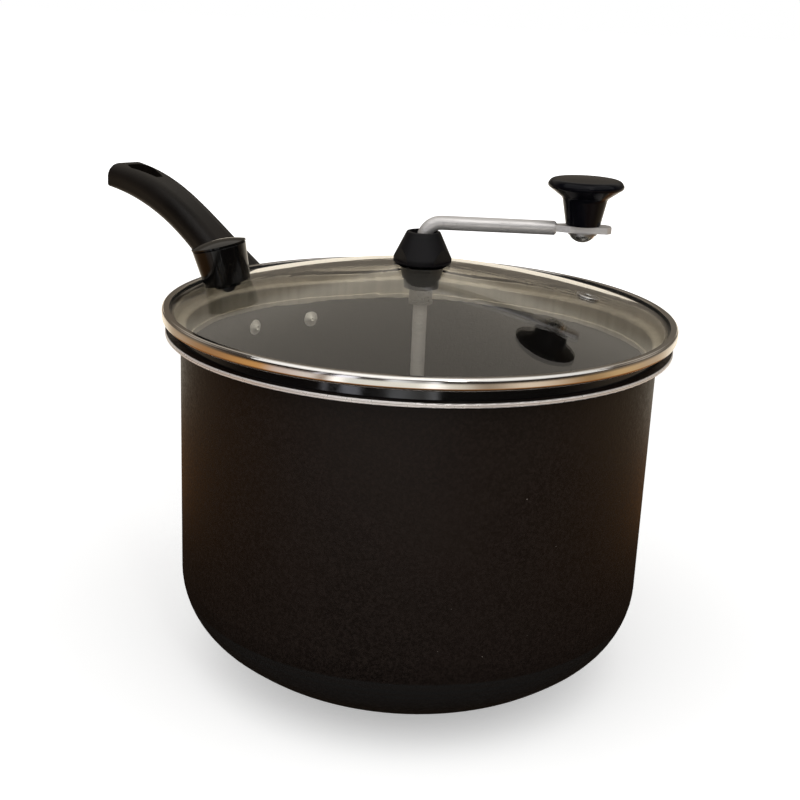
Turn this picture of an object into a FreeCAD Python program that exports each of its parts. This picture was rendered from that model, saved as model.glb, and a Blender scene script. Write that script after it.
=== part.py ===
import FreeCAD, Part
import math
import os
import re
from collections import namedtuple

import Sketcher
from FreeCAD import Placement, Rotation, Vector

# Stovetop popcorn popper: a deep pot with a side handle, a glass lid in a steel band,
# and a bent crank whose shaft runs through the lid's hub down to a stirring wire.
# Millimetres, +Z up, origin at the centre of the pot's flat base. The crank arm
# lies along +X at rest, and the handle leaves the pot at the azimuth given below.

SIZES = {
    # pot
    "pot_radius": 111.6,
    "pot_wall": 2.1,
    "pot_floor": 3.0,
    "pot_height": 166.0,
    "base_bevel_height": 30.3,
    "base_bevel_angle": 39.7,
    "base_round": 69.0,
    "corner_round": 38.0,
    "lip_width": 7.0,
    "lip_thickness": 2.0,
    "lip_root_round": 2.5,
    "lip_mouth_round": 1.6,
    "lip_edge_round": 0.5,
    # handle
    "handle_azimuth": 132.5,
    "rivet_drop": 21.0,
    "rivet_half_angle": 9.65,
    "rivet_radius": 2.4,
    "rivet_head_radius": 4.2,
    "rivet_head_height": 2.1,
    "rivet_dimple": 1.0,
    "bracket_plate": 3.0,
    "bracket_half_angle": 15.0,
    "bracket_height": 32.0,
    "shoulder_width": 21.0,
    "shoulder_height": 15.0,
    "tongue_length": 30.0,
    "tongue_width": 13.0,
    "tongue_height": 9.0,
    "tongue_clearance": 0.2,
    "grip_standoff": 10.6,
    "grip_lift": 2.2,
    "grip_start_angle": 33.0,
    "grip_middle_angle": 24.4,
    "grip_end_angle": 2.8,
    "grip_inner_length": 79.6,
    "grip_outer_length": 81.2,
    "grip_base_half_width": 17.5,
    "grip_middle_half_width": 11.3,
    "grip_end_half_width": 13.8,
    "grip_base_half_height": 10.5,
    "grip_middle_half_height": 8.2,
    "grip_end_half_height": 6.9,
    "grip_edge_round": 7.8,
    "grip_low_round": 5.2,
    "grip_low_end_round": 1.8,
    "grip_end_round": 1.1,
    "hang_hole_inset": 6.5,
    "hang_hole_length": 31.0,
    "hang_hole_width": 13.5,
    "hang_hole_round": 3.0,
    "grip_screw_radius": 2.0,
    "grip_screw_head_radius": 3.8,
    "grip_screw_head_height": 2.4,
    "grip_screw_along": 17.0,
    "grip_screw_sink": 2.0,
    # lid
    "skirt_clearance": 0.5,
    "skirt_depth": 11.0,
    "hem_width": 1.4,
    "hem_height": 2.6,
    "seat_width": 4.3,
    "band_gap": 4.9,
    "band_overhang": 1.4,
    "band_sheet": 0.6,
    "band_lip": 3.5,
    "band_round": 1.5,
    "seal_thickness": 0.7,
    "glass_thickness": 3.0,
    "glass_rim_flat": 4.1,
    "dome_radius": 900.0,
    "dome_offset": 126.2,
    "hub_seat_radius": 12.0,
    # vent
    "vent_inset": 37.5,
    "vent_azimuth": 0.3,
    "vent_hole_radius": 2.0,
    "vent_tube_radius": 2.9,
    "vent_flange_radius": 5.8,
    "vent_flange": 0.8,
    # thumb knob
    "thumb_inset": 22.6,
    "thumb_azimuth": 173.1,
    "thumb_base_radius": 11.1,
    "thumb_top_radius": 12.9,
    "thumb_height": 17.0,
    "thumb_cap_height": 3.2,
    "thumb_cap_edge": 1.1,
    "thumb_washer": 0.8,
    "thumb_washer_radius": 6.0,
    "thumb_skirt_clearance": 0.8,
    "thumb_screw_radius": 2.0,
    "thumb_screw_depth": 11.0,
    "thumb_screw_head_radius": 4.2,
    "thumb_screw_head_height": 2.4,
    # hub
    "hub_gasket": 0.8,
    "hub_radius": 13.6,
    "hub_side": 1.6,
    "hub_lip": 1.9,
    "hub_lip_clearance": 0.5,
    "hub_height": 13.8,
    "hub_top_radius": 7.8,
    "hub_shoulder_round": 2.5,
    "hub_top_round": 0.8,
    "hub_flat_depth": 2.2,
    "hub_flat_azimuth": 206.1,
    "hub_recess_radius": 6.4,
    "hub_recess_depth": 8.2,
    "bush_radius": 5.5,
    "bush_hole_clearance": 0.7,
    "bush_flange": 1.2,
    "bush_flange_radius": 5.9,
    "bush_tail": 5.7,
    "nut_gasket": 0.8,
    "nut_radius": 10.0,
    "nut_end_radius": 8.2,
    "nut_height": 9.8,
    "nut_flat_width": 16.4,
    "nut_flat_height": 4.5,
    # crank
    "rod_radius": 3.3,
    "running_clearance": 0.05,
    "end_play": 0.1,
    "bend_radius": 8.2,
    "arm_rise": 4.3,
    "arm_length": 61.0,
    "arm_end_chamfer": 0.8,
    "clip_thickness": 0.8,
    "clip_radius": 5.6,
    "clip_groove": 0.6,
    "clip_opening": 4.4,
    "thrust_washer": 0.6,
    "thrust_washer_radius": 5.7,
    "tang_thickness": 3.0,
    "tang_raise": 0.2,
    "tang_half_width": 4.75,
    "tang_neck_half_width": 2.9,
    "tang_neck_length": 6.0,
    "tang_chamfer": 2.2,
    "tang_tail": 13.0,
    "knob_offset": 12.2,
    # crank knob
    "spindle_radius": 2.5,
    "spindle_head_radius": 6.2,
    "spindle_head_height": 3.8,
    "spindle_washer": 1.0,
    "spindle_washer_radius": 6.7,
    "spindle_top_radius": 5.0,
    "spindle_top_height": 1.6,
    "knob_base_radius": 7.9,
    "knob_neck_radius": 10.4,
    "knob_neck_height": 12.6,
    "knob_rim_radius": 17.9,
    "knob_rim_height": 18.0,
    "knob_top_radius": 16.1,
    "knob_height": 21.4,
    "knob_crown": 0.3,
    "knob_flare_round": 3.0,
    "knob_rim_round": 1.5,
    "knob_bore_depth": 8.6,
    "knob_cup_clearance": 0.5,
    "knob_plug_radius": 6.0,
    "knob_plug_depth": 4.5,
    # stirrer
    "boss_radius": 7.0,
    "boss_height": 17.0,
    "boss_floor_gap": 1.6,
    "wire_radius": 1.5,
    "wire_rise": 2.6,
    "rod_end_gap": 2.0,
    "wire_flat_gap": 59.6,
    "wire_tip_gap": 25.6,
    "wire_tip_rise": 13.0,
    "wire_bend": 30.0,
    "boss_screw_radius": 2.0,
    "boss_screw_height": 12.5,
    "boss_screw_socket": 1.0,
}

doc = FreeCAD.newDocument("popcorn_popper")
sheet = doc.addObject("Spreadsheet::Sheet", "Sizes")
for row, (alias, size) in enumerate(SIZES.items(), start=1):
    sheet.set(f"A{row}", alias)
    sheet.set(f"B{row}", str(size))
    sheet.setAlias(f"B{row}", alias)
doc.recompute()

# Heights and radii that several pieces share, each written once as an expression.
POT_INNER = "(pot_radius - pot_wall)"
LIP_RADIUS = "(pot_radius + lip_width)"
RIVET_HEIGHT = "(pot_height - rivet_drop)"
SKIRT_RADIUS = f"({POT_INNER} - skirt_clearance)"
STEP_RADIUS = f"({POT_INNER} + seat_width)"
BAND_RADIUS = f"({LIP_RADIUS} + band_overhang)"
BAND_BOTTOM = "(pot_height + band_gap)"
GLASS_RADIUS = f"({BAND_RADIUS} - band_sheet - seal_thickness)"
GLASS_RIM_LOW = f"({BAND_BOTTOM} + band_sheet + seal_thickness)"
GLASS_RIM_TOP = f"({GLASS_RIM_LOW} + glass_thickness)"
BAND_TOP = f"({GLASS_RIM_TOP} + seal_thickness + band_sheet)"
DOME_EDGE = f"({BAND_RADIUS} - glass_rim_flat)"
DOME_CENTRE = f"({GLASS_RIM_TOP} - sqrt(dome_radius^2 - ({DOME_EDGE} + dome_offset)^2))"
CRADLE = f"({DOME_CENTRE} + sqrt(dome_radius^2 - (hub_seat_radius + dome_offset)^2))"
CROWN_LOW = (
    f"({DOME_CENTRE} + sqrt((dome_radius - glass_thickness)^2"
    " - (hub_seat_radius + dome_offset)^2))"
)
HUB_BASE = f"({CRADLE} + hub_gasket)"
HUB_TOP = f"({HUB_BASE} + hub_height)"
RECESS_FLOOR = f"({HUB_TOP} - hub_recess_depth)"
FLANGE_TOP = f"({RECESS_FLOOR} + bush_flange)"
NUT_TOP = f"({CROWN_LOW} - nut_gasket)"
NUT_LOW = f"({NUT_TOP} - nut_height)"
BUSH_LOW = f"({NUT_LOW} - bush_tail)"
BUSH_BORE = "(rod_radius + running_clearance)"
ARM_HEIGHT = f"({HUB_TOP} + arm_rise)"
GROOVE_RADIUS = "(rod_radius - clip_groove)"
UPPER_WASHER = f"({FLANGE_TOP} + end_play)"
UPPER_CLIP = f"({UPPER_WASHER} + thrust_washer)"
LOWER_WASHER = f"({BUSH_LOW} - end_play - thrust_washer)"
LOWER_CLIP = f"({LOWER_WASHER} - clip_thickness)"
TANG_LOW = f"({ARM_HEIGHT} + tang_raise - tang_thickness / 2)"
TANG_TOP = f"({TANG_LOW} + tang_thickness)"
KNOB_BASE = f"({TANG_TOP} + end_play)"
BOSS_LOW = "(pot_floor + boss_floor_gap)"
WIRE_HEIGHT = f"({BOSS_LOW} + wire_rise)"
ROD_LOW = f"({WIRE_HEIGHT} + wire_radius + rod_end_gap)"
PLATE_RADIUS = "(pot_radius + bracket_plate)"
VENT_REACH = f"({DOME_EDGE} - vent_inset)"
THUMB_REACH = f"({DOME_EDGE} - thumb_inset)"
KNOB_REACH = "(arm_length + knob_offset)"
WIRE_TIP = "(pot_radius - wire_tip_gap)"
WIRE_FLAT = "(pot_radius - wire_flat_gap)"

Corner = namedtuple("Corner", "across up rounding", defaults=[None])
Bow = namedtuple("Bow", "radius side")
WORD = re.compile(r"[a-z][a-z_]+")


def link(text):
    """The expression with each name of the sheet written as a reference to its cell."""
    return WORD.sub(
        lambda found: "Sizes." + found[0] if found[0] in SIZES else found[0], text
    )


def value(text):
    """The expression's present value as a plain number."""
    result = sheet.evalExpression(link(text))
    return float(getattr(result, "Value", result))


def new_body(name, placement=None):
    """An empty body whose label is its node's name, moved to its place if one is given."""
    body = doc.addObject("PartDesign::Body", name)
    body.Label = name
    if placement:
        body.setExpression("Placement", link(placement))
    return body


def new_sketch(body, name, role, offset=None):
    """A sketch on one of the body's own origin planes, shifted or turned by offset."""
    sketch = body.newObject("Sketcher::SketchObject", f"{body.Name}_{name}")
    plane = next(item for item in body.Origin.OriginFeatures if item.Role == role)
    sketch.AttachmentSupport = [(plane, "")]
    sketch.MapMode = "FlatFace"
    if offset:
        sketch.setExpression("AttachmentOffset", link(offset))
    return sketch


def pin_point(sketch, geometry, end, across, up):
    """Holds one point of the sketch at two expressions, measured from its origin."""
    for kind, text, axis in (("DistanceX", across, -2), ("DistanceY", up, -1)):
        size = value(text)
        if abs(size) < 1e-9:
            sketch.addConstraint(
                Sketcher.Constraint("PointOnObject", geometry, end, axis)
            )
        elif size > 0:
            index = sketch.addConstraint(
                Sketcher.Constraint(kind, -1, 1, geometry, end, size)
            )
            sketch.setExpression(f"Constraints[{index}]", link(text))
        else:
            index = sketch.addConstraint(
                Sketcher.Constraint(kind, geometry, end, -1, 1, -size)
            )
            sketch.setExpression(f"Constraints[{index}]", link(f"-({text})"))


def set_radius(sketch, arc, text):
    """Holds an arc's or a circle's radius at an expression."""
    index = sketch.addConstraint(Sketcher.Constraint("Radius", arc, value(text)))
    sketch.setExpression(f"Constraints[{index}]", link(text))


def arc_between(start, end, radius, side):
    """The arc of that radius from start to end that bulges to one side: 1 left, -1 right."""
    chord = end - start
    half = chord.Length / 2
    left = Vector(-chord.y, chord.x, 0).normalize()
    centre = (start + end) / 2 - left * side * (radius**2 - half**2) ** 0.5
    top = centre + left * side * radius
    return Part.Arc(start, top, end)


def draw_outline(sketch, items, closed=True):
    """Draws lines from corner to corner, rounding a corner that has a radius.

    A Bow between two corners makes that side an arc. Every point and radius
    stays tied to the sheet. Returns the number of each side's geometry.
    """
    corners = [item for item in items if isinstance(item, Corner)]
    count = len(corners)
    bows = {}
    for place, item in enumerate(items):
        if isinstance(item, Bow):
            before = [entry for entry in items[:place] if isinstance(entry, Corner)]
            bows[len(before) - 1] = item
    points = [Vector(value(c.across), value(c.up), 0) for c in corners]
    starts, ends, arcs = list(points), list(points), {}
    for i, corner in enumerate(corners):
        if corner.rounding is None:
            continue
        radius = value(corner.rounding)
        towards_last = (points[i - 1] - points[i]).normalize()
        towards_next = (points[(i + 1) % count] - points[i]).normalize()
        half_angle = towards_last.getAngle(towards_next) / 2
        reach = radius / math.tan(half_angle)
        depth = radius / math.sin(half_angle) - radius
        ends[i] = points[i] + towards_last * reach
        starts[i] = points[i] + towards_next * reach
        middle = points[i] + (towards_last + towards_next).normalize() * depth
        arcs[i] = sketch.addGeometry(Part.Arc(ends[i], middle, starts[i]))
    sides = {}
    for i in range(count if closed else count - 1):
        start, end = starts[i], ends[(i + 1) % count]
        if i in bows:
            arc = arc_between(start, end, value(bows[i].radius), bows[i].side)
            sides[i] = sketch.addGeometry(arc)
            set_radius(sketch, sides[i], bows[i].radius)
        else:
            sides[i] = sketch.addGeometry(Part.LineSegment(start, end))
    tie_corners(sketch, corners, sides, arcs, bows)
    return sides


def near_end(sketch, geometry, point):
    """Which end of a line or an arc lies at the point: 1 its start, 2 its end."""
    first = (sketch.getPoint(geometry, 1) - point).Length
    return 1 if first < (sketch.getPoint(geometry, 2) - point).Length else 2


def tie_corners(sketch, corners, sides, arcs, bows):
    """Joins the sides at their corners and holds each corner at its expressions."""
    count = len(corners)
    for i, corner in enumerate(corners):
        last, following = sides.get((i - 1) % count), sides.get(i)
        place = Vector(value(corner.across), value(corner.up), 0)
        if i in arcs:
            arc = arcs[i]
            mark = sketch.addGeometry(Part.Point(place), True)
            pin_point(sketch, mark, 1, corner.across, corner.up)
            for side in (last, following):
                reached = near_end(sketch, side, place)
                tip = sketch.getPoint(side, reached)
                sketch.addConstraint(
                    Sketcher.Constraint("PointOnObject", mark, 1, side)
                )
                sketch.addConstraint(
                    Sketcher.Constraint(
                        "Tangent", side, reached, arc, near_end(sketch, arc, tip)
                    )
                )
            set_radius(sketch, arc, corner.rounding)
            continue
        held = [side for side in (last, following) if side is not None]
        tips = [(side, near_end(sketch, side, place)) for side in held]
        if len(tips) == 2:
            sketch.addConstraint(
                Sketcher.Constraint("Coincident", *tips[0], *tips[1])
            )
        pin_point(sketch, *tips[0], corner.across, corner.up)


def draw_circle(sketch, radius, across="0", up="0"):
    """A circle of that radius about a point of the sketch."""
    centre = Vector(value(across), value(up), 0)
    circle = sketch.addGeometry(
        Part.Circle(centre, Vector(0, 0, 1), value(radius))
    )
    if value(across) == 0 and value(up) == 0:
        sketch.addConstraint(Sketcher.Constraint("Coincident", circle, 3, -1, 1))
    else:
        pin_point(sketch, circle, 3, across, up)
    set_radius(sketch, circle, radius)


def revolve(body, items, name="turned", kind="Revolution", angle=None):
    """Turns an outline of radius and height about the body's Z axis."""
    sketch = new_sketch(body, f"{name}_outline", "XZ_Plane")
    draw_outline(sketch, items)
    turned = body.newObject(f"PartDesign::{kind}", f"{body.Name}_{name}")
    turned.Profile = sketch
    turned.ReferenceAxis = (sketch, ["V_Axis"])
    if angle:
        turned.setExpression("Angle", link(angle))
        turned.Midplane = True
    else:
        turned.Angle = 360
    return turned


def extrude(body, sketch, length, name="block", kind="Pad", both_ways=False, turn=False):
    """Pads or pockets a sketch by a length."""
    made = body.newObject(f"PartDesign::{kind}", f"{body.Name}_{name}")
    made.Profile = sketch
    made.setExpression("Length", link(length))
    made.Midplane = both_ways
    made.Reversed = turn
    return made


def ring(name, inner, outer, low, thickness, placement=None):
    """A flat ring about the Z axis: a washer or a gasket."""
    body = new_body(name, placement)
    high = f"({low} + {thickness})"
    revolve(
        body,
        [
            Corner(inner, low),
            Corner(outer, low),
            Corner(outer, high),
            Corner(inner, high),
        ],
    )
    return body


def drill(body, radius, length, placement, name="hole"):
    """Takes a round hole out of the body, along the placement's own Z axis."""
    hole = body.newObject("PartDesign::SubtractiveCylinder", f"{body.Name}_{name}")
    hole.setExpression("Radius", link(radius))
    hole.setExpression("Height", link(length))
    hole.setExpression("Placement", link(placement))
    return hole


def on_dome(reach, azimuth):
    """The frame on the glass's outer face at a reach from the axis, Z along its normal."""
    height = f"({DOME_CENTRE} + sqrt(dome_radius^2 - ({reach} + dome_offset)^2))"
    lean = f"asin(({reach} + dome_offset) / dome_radius)"
    return (
        f"placement(vector({reach} * cos({azimuth} * 1 deg);"
        f" {reach} * sin({azimuth} * 1 deg); {height});"
        f" rotation({azimuth} * 1 deg; {lean}; 0 deg))"
    )


def radial(azimuth, reach, height):
    """A frame at a reach from the axis whose Z axis points straight outwards."""
    return (
        f"placement(vector({reach} * cos({azimuth} * 1 deg);"
        f" {reach} * sin({azimuth} * 1 deg); {height});"
        f" rotation({azimuth} * 1 deg; 90 deg; 0 deg))"
    )


HANDLE_FRAME = "placement(vector(0; 0; 0); rotation(handle_azimuth * 1 deg; 0 deg; 0 deg))"


def make_pot_shell():
    """The pressed pot: flat base, deep rounded corner, straight wall and flat lip."""
    bevel_foot = "(pot_radius - base_bevel_height / tan(base_bevel_angle * 1 deg))"
    inner_foot = f"({bevel_foot} - pot_floor * tan(base_bevel_angle * 0.5 deg))"
    inner_bevel = (
        "(base_bevel_height + pot_floor / cos(base_bevel_angle * 1 deg)"
        " - pot_wall * tan(base_bevel_angle * 1 deg))"
    )
    body = new_body("pot_shell")
    revolve(
        body,
        [
            Corner("0", "0"),
            Corner(bevel_foot, "0", "base_round"),
            Corner("pot_radius", "base_bevel_height", "corner_round"),
            Corner("pot_radius", "pot_height - lip_thickness", "lip_root_round"),
            Corner(LIP_RADIUS, "pot_height - lip_thickness", "lip_edge_round"),
            Corner(LIP_RADIUS, "pot_height", "lip_edge_round"),
            Corner(POT_INNER, "pot_height", "lip_mouth_round"),
            Corner(POT_INNER, inner_bevel, "corner_round - pot_wall"),
            Corner(inner_foot, "pot_floor", "base_round - pot_floor"),
            Corner("0", "pot_floor"),
        ],
    )
    for name, side in (("left_rivet_hole", "+"), ("right_rivet_hole", "-")):
        azimuth = f"(handle_azimuth {side} rivet_half_angle)"
        frame = radial(azimuth, f"({POT_INNER} - pot_wall)", RIVET_HEIGHT)
        drill(body, "rivet_radius", "pot_wall * 4", frame, name)
    return body


def grip_frame(arc, share):
    """Reach, height and slope of the grip's centre line at a share of one of its two arcs."""
    reach = "(pot_radius + grip_standoff)"
    height = f"({RIVET_HEIGHT} + grip_lift)"
    slopes = ["grip_start_angle", "grip_middle_angle", "grip_end_angle"]
    lengths = ["grip_inner_length", "grip_outer_length"]
    for i in range(arc + 1):
        fall = f"({slopes[i]} - {slopes[i + 1]})"
        part = share if i == arc else "1"
        slope = f"({slopes[i]} - {fall} * {part})"
        bend = f"({lengths[i]} / ({fall} * pi / 180))"
        start = slopes[i]
        reach = f"({reach} + {bend} * (sin({start} * 1 deg) - sin({slope} * 1 deg)))"
        height = f"({height} + {bend} * (cos({slope} * 1 deg) - cos({start} * 1 deg)))"
    return reach, height, slope


def across_grip(reach, height, slope):
    """Where a sketch on the side plane goes to stand square across the grip."""
    return (
        f"placement(vector(0; {height}; {reach});"
        f" rotation(vector(1; 0; 0); -{slope} * 1 deg))"
    )


def draw_block(sketch, half_width, half_height, rounding=None, low_rounding=None):
    """A rectangle about the sketch's origin, with rounded corners if asked."""
    low_rounding = low_rounding or rounding
    draw_outline(
        sketch,
        [
            Corner(f"-{half_width}", f"-{half_height}", low_rounding),
            Corner(half_width, f"-{half_height}", low_rounding),
            Corner(half_width, half_height, rounding),
            Corner(f"-{half_width}", half_height, rounding),
        ],
    )


def make_handle_grip():
    """The moulded grip: it rises from the pot, curves flat and has a hole to hang it by."""
    body = new_body("handle_grip", HANDLE_FRAME)
    stations = [(0, "0"), (0, "0.5"), (0, "1"), (1, "0.35"), (1, "0.7"), (1, "1")]
    names = ["base", "middle", "end"]
    sections = []
    for number, (arc, share) in enumerate(stations):
        near, far = (names[1], names[0]) if arc == 0 else (names[1], names[2])
        weight = f"(1 - {share})^2" if arc == 0 else f"{share}^2"
        half_width = (
            f"(grip_{near}_half_width"
            f" + (grip_{far}_half_width - grip_{near}_half_width) * {weight})"
        )
        half_height = (
            f"(grip_{near}_half_height"
            f" + (grip_{far}_half_height - grip_{near}_half_height) * {weight})"
        )
        frame = across_grip(*grip_frame(arc, share))
        section = new_sketch(body, f"section_{number}", "YZ_Plane", frame)
        low_round = "grip_low_round"
        if arc == 1:
            fade = f"(grip_low_end_round - grip_low_round) * {weight}"
            low_round = f"(grip_low_round + {fade})"
        draw_block(section, half_width, half_height, "grip_edge_round", low_round)
        sections.append(section)
    loft = body.newObject("PartDesign::AdditiveLoft", "handle_grip_loft")
    loft.Profile = sections[-1]
    loft.Sections = sections[-2::-1]
    doc.recompute()
    round_grip_end(body, loft)
    reach, height, slope = grip_frame(0, "0")
    frame = across_grip(reach, height, slope)
    socket = new_sketch(body, "socket_outline", "YZ_Plane", frame)
    draw_block(
        socket,
        "(tongue_width / 2 + tongue_clearance)",
        "(tongue_height / 2 + tongue_clearance)",
    )
    depth = "tongue_length + tongue_clearance"
    extrude(body, socket, depth, "socket", "Pocket", turn=True)
    cut_hang_hole(body)
    drill_for_screw(body, "grip_half")
    return body


def round_grip_end(body, loft):
    """Rounds the edges of the grip's blunt far end."""
    end_reach = value(grip_frame(1, "1")[0])
    edges = []
    for number, edge in enumerate(loft.Shape.Edges, start=1):
        near_tip = all(abs(v.X - end_reach) < 1.0 for v in edge.Vertexes)
        if near_tip:
            edges.append(f"Edge{number}")
    rounded = body.newObject("PartDesign::Fillet", "handle_grip_end")
    rounded.Base = (loft, edges)
    rounded.setExpression("Radius", link("grip_end_round"))


def cut_hang_hole(body):
    """The long lozenge hole through the grip near its end."""
    share = "(1 - (hang_hole_inset + hang_hole_length / 2) / grip_outer_length)"
    reach, height, slope = grip_frame(1, share)
    frame = (
        f"placement(vector({reach}; 0; {height});"
        f" rotation(0 deg; -{slope} * 1 deg; 0 deg))"
    )
    outline = new_sketch(body, "hang_hole_outline", "XY_Plane", frame)
    draw_outline(
        outline,
        [
            Corner("-hang_hole_length / 2", "-hang_hole_width / 6", "hang_hole_round / 2"),
            Corner("hang_hole_length / 5", "-hang_hole_width / 2", "hang_hole_round"),
            Corner("hang_hole_length / 2", "-hang_hole_width / 3", "hang_hole_round"),
            Corner("hang_hole_length / 2", "hang_hole_width / 3", "hang_hole_round"),
            Corner("hang_hole_length / 5", "hang_hole_width / 2", "hang_hole_round"),
            Corner("-hang_hole_length / 2", "hang_hole_width / 6", "hang_hole_round / 2"),
        ],
    )
    depth = "grip_middle_half_height * 8"
    extrude(body, outline, depth, "hang_hole", "Pocket", both_ways=True)


def screw_frame(drop):
    """A frame on the grip's underside, its Z axis pointing up into the grip."""
    share = "(grip_screw_along / grip_inner_length)"
    reach, height, slope = grip_frame(0, share)
    return (
        f"placement(vector({reach} + {drop} * sin({slope} * 1 deg); 0;"
        f" {height} - {drop} * cos({slope} * 1 deg));"
        f" rotation(0 deg; -{slope} * 1 deg; 0 deg))"
    )


SCREW_DROP = "(grip_middle_half_height - grip_screw_sink / 2)"


def drill_for_screw(body, name):
    """The sunk screw hole from the grip's underside up to the tongue's socket."""
    far_below = "(grip_middle_half_height * 2)"
    drill(body, "grip_screw_radius", far_below, screw_frame(far_below), f"{name}_hole")
    depth = f"({far_below} - {SCREW_DROP} + grip_screw_head_height)"
    drill(body, "grip_screw_head_radius", depth, screw_frame(far_below), f"{name}_sink")


def make_handle_screw():
    """The screw that holds the grip on the bracket's tongue, with its slot."""
    body = new_body("handle_screw", HANDLE_FRAME)
    tip = f"({SCREW_DROP} + tongue_height / 2 - grip_screw_radius / 2)"
    sketch = new_sketch(body, "outline", "XZ_Plane", local_on_screw())
    draw_outline(
        sketch,
        [
            Corner("0", "0"),
            Corner("grip_screw_head_radius - tongue_clearance", "0"),
            Corner("grip_screw_head_radius - tongue_clearance", "grip_screw_head_height"),
            Corner("grip_screw_radius", "grip_screw_head_height"),
            Corner("grip_screw_radius", tip),
            Corner("0", tip),
        ],
    )
    turned = body.newObject("PartDesign::Revolution", "handle_screw_turned")
    turned.Profile = sketch
    turned.ReferenceAxis = (sketch, ["V_Axis"])
    turned.Angle = 360
    slot = new_sketch(body, "slot_outline", "XZ_Plane", local_on_screw())
    half = "grip_screw_head_radius"
    draw_outline(
        slot,
        [
            Corner(f"-{half}", "-grip_screw_radius"),
            Corner(half, "-grip_screw_radius"),
            Corner(half, "grip_screw_head_height / 3"),
            Corner(f"-{half}", "grip_screw_head_height / 3"),
        ],
    )
    extrude(body, slot, "grip_screw_radius / 2", "slot", "Pocket", both_ways=True)
    return body


def local_on_screw():
    """The same frame for a sketch that stands on the handle's side plane."""
    share = "(grip_screw_along / grip_inner_length)"
    reach, height, slope = grip_frame(0, share)
    drop = SCREW_DROP
    return (
        f"placement(vector({reach} + {drop} * sin({slope} * 1 deg);"
        f" {height} - {drop} * cos({slope} * 1 deg); 0);"
        f" rotation({slope} * 1 deg; 0 deg; 0 deg))"
    )


def make_handle_bracket():
    """The bracket riveted to the wall: curved plate, shoulder and the tongue in the grip."""
    body = new_body("handle_bracket", HANDLE_FRAME)
    low = f"({RIVET_HEIGHT} - bracket_height / 2)"
    high = f"({RIVET_HEIGHT} + bracket_height / 2)"
    revolve(
        body,
        [
            Corner("pot_radius", low),
            Corner(PLATE_RADIUS, low),
            Corner(PLATE_RADIUS, high),
            Corner("pot_radius", high),
        ],
        "plate",
        angle="bracket_half_angle * 2",
    )
    reach, height, slope = grip_frame(0, "0")
    frame = across_grip(reach, height, slope)
    doc.recompute()
    shoulder = new_sketch(body, "shoulder_outline", "YZ_Plane", frame)
    draw_block(shoulder, "(shoulder_width / 2)", "(shoulder_height / 2)", "bracket_plate / 2")
    length = "(grip_standoff - bracket_plate / 2 + shoulder_height / 4)"
    extrude(body, shoulder, length, "shoulder", turn=True)
    tongue = new_sketch(body, "tongue_outline", "YZ_Plane", frame)
    draw_block(tongue, "(tongue_width / 2)", "(tongue_height / 2)")
    extrude(body, tongue, "tongue_length", "tongue")
    upright = "placement(vector(0; 0; 0); rotation(0 deg; 0 deg; 0 deg))"
    drill(body, "pot_radius", "pot_height", upright, "wall_side")
    screw_hole = screw_frame("(grip_middle_half_height * 2)")
    drill(body, "grip_screw_radius", "grip_middle_half_height * 4", screw_hole, "screw_hole")
    for name, side in (("left_rivet_hole", "+"), ("right_rivet_hole", "-")):
        frame = radial(f"({side}rivet_half_angle)", POT_INNER, RIVET_HEIGHT)
        drill(body, "rivet_radius", "pot_wall + bracket_plate * 2", frame, name)
    return body


def make_handle_rivets():
    """Two rivets through the wall and the bracket, with domed heads inside the pot."""
    frame = (
        "placement(vector(0; 0; 0);"
        " rotation((handle_azimuth - rivet_half_angle) * 1 deg; 0 deg; 0 deg))"
    )
    body = new_body("handle_rivets", frame)
    sketch = new_sketch(body, "outline", "XZ_Plane")
    inner, outer = POT_INNER, PLATE_RADIUS
    axis = RIVET_HEIGHT
    head = f"({axis} + rivet_head_radius)"
    shank = f"({axis} + rivet_radius)"
    draw_outline(
        sketch,
        [
            Corner(f"{inner} - rivet_head_height + rivet_dimple", axis),
            Corner(f"{outer} + rivet_head_height", axis),
            Bow("rivet_head_radius * 1.3", 1),
            Corner(outer, head),
            Corner(outer, shank),
            Corner(inner, shank),
            Corner(inner, head),
            Bow("rivet_head_radius * 1.6", 1),
            Corner(f"{inner} - rivet_head_height", f"{axis} + rivet_dimple"),
        ],
    )
    turned = body.newObject("PartDesign::Revolution", "handle_rivets_turned")
    turned.Profile = sketch
    line = sketch.addGeometry(
        Part.LineSegment(
            Vector(value(inner), value(axis), 0), Vector(value(outer), value(axis), 0)
        ),
        True,
    )
    pin_point(sketch, line, 1, inner, axis)
    pin_point(sketch, line, 2, outer, axis)
    turned.ReferenceAxis = (sketch, ["Axis0"])
    turned.Angle = 360
    doc.recompute()
    return repeat_about_axis(body, turned, 2, "rivet_half_angle * 2")


def repeat_about_axis(body, feature, count, angle=None):
    """Repeats a feature about the body's Z axis: evenly, or over an angle."""
    pattern = body.newObject("PartDesign::PolarPattern", f"{body.Name}_pattern")
    pattern.Originals = [feature]
    axis = next(item for item in body.Origin.OriginFeatures if item.Role == "Z_Axis")
    pattern.Axis = (axis, [""])
    pattern.Occurrences = count
    if angle:
        pattern.setExpression("Angle", link(angle))
    else:
        pattern.Angle = 360
    body.Tip = pattern
    return body


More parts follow.
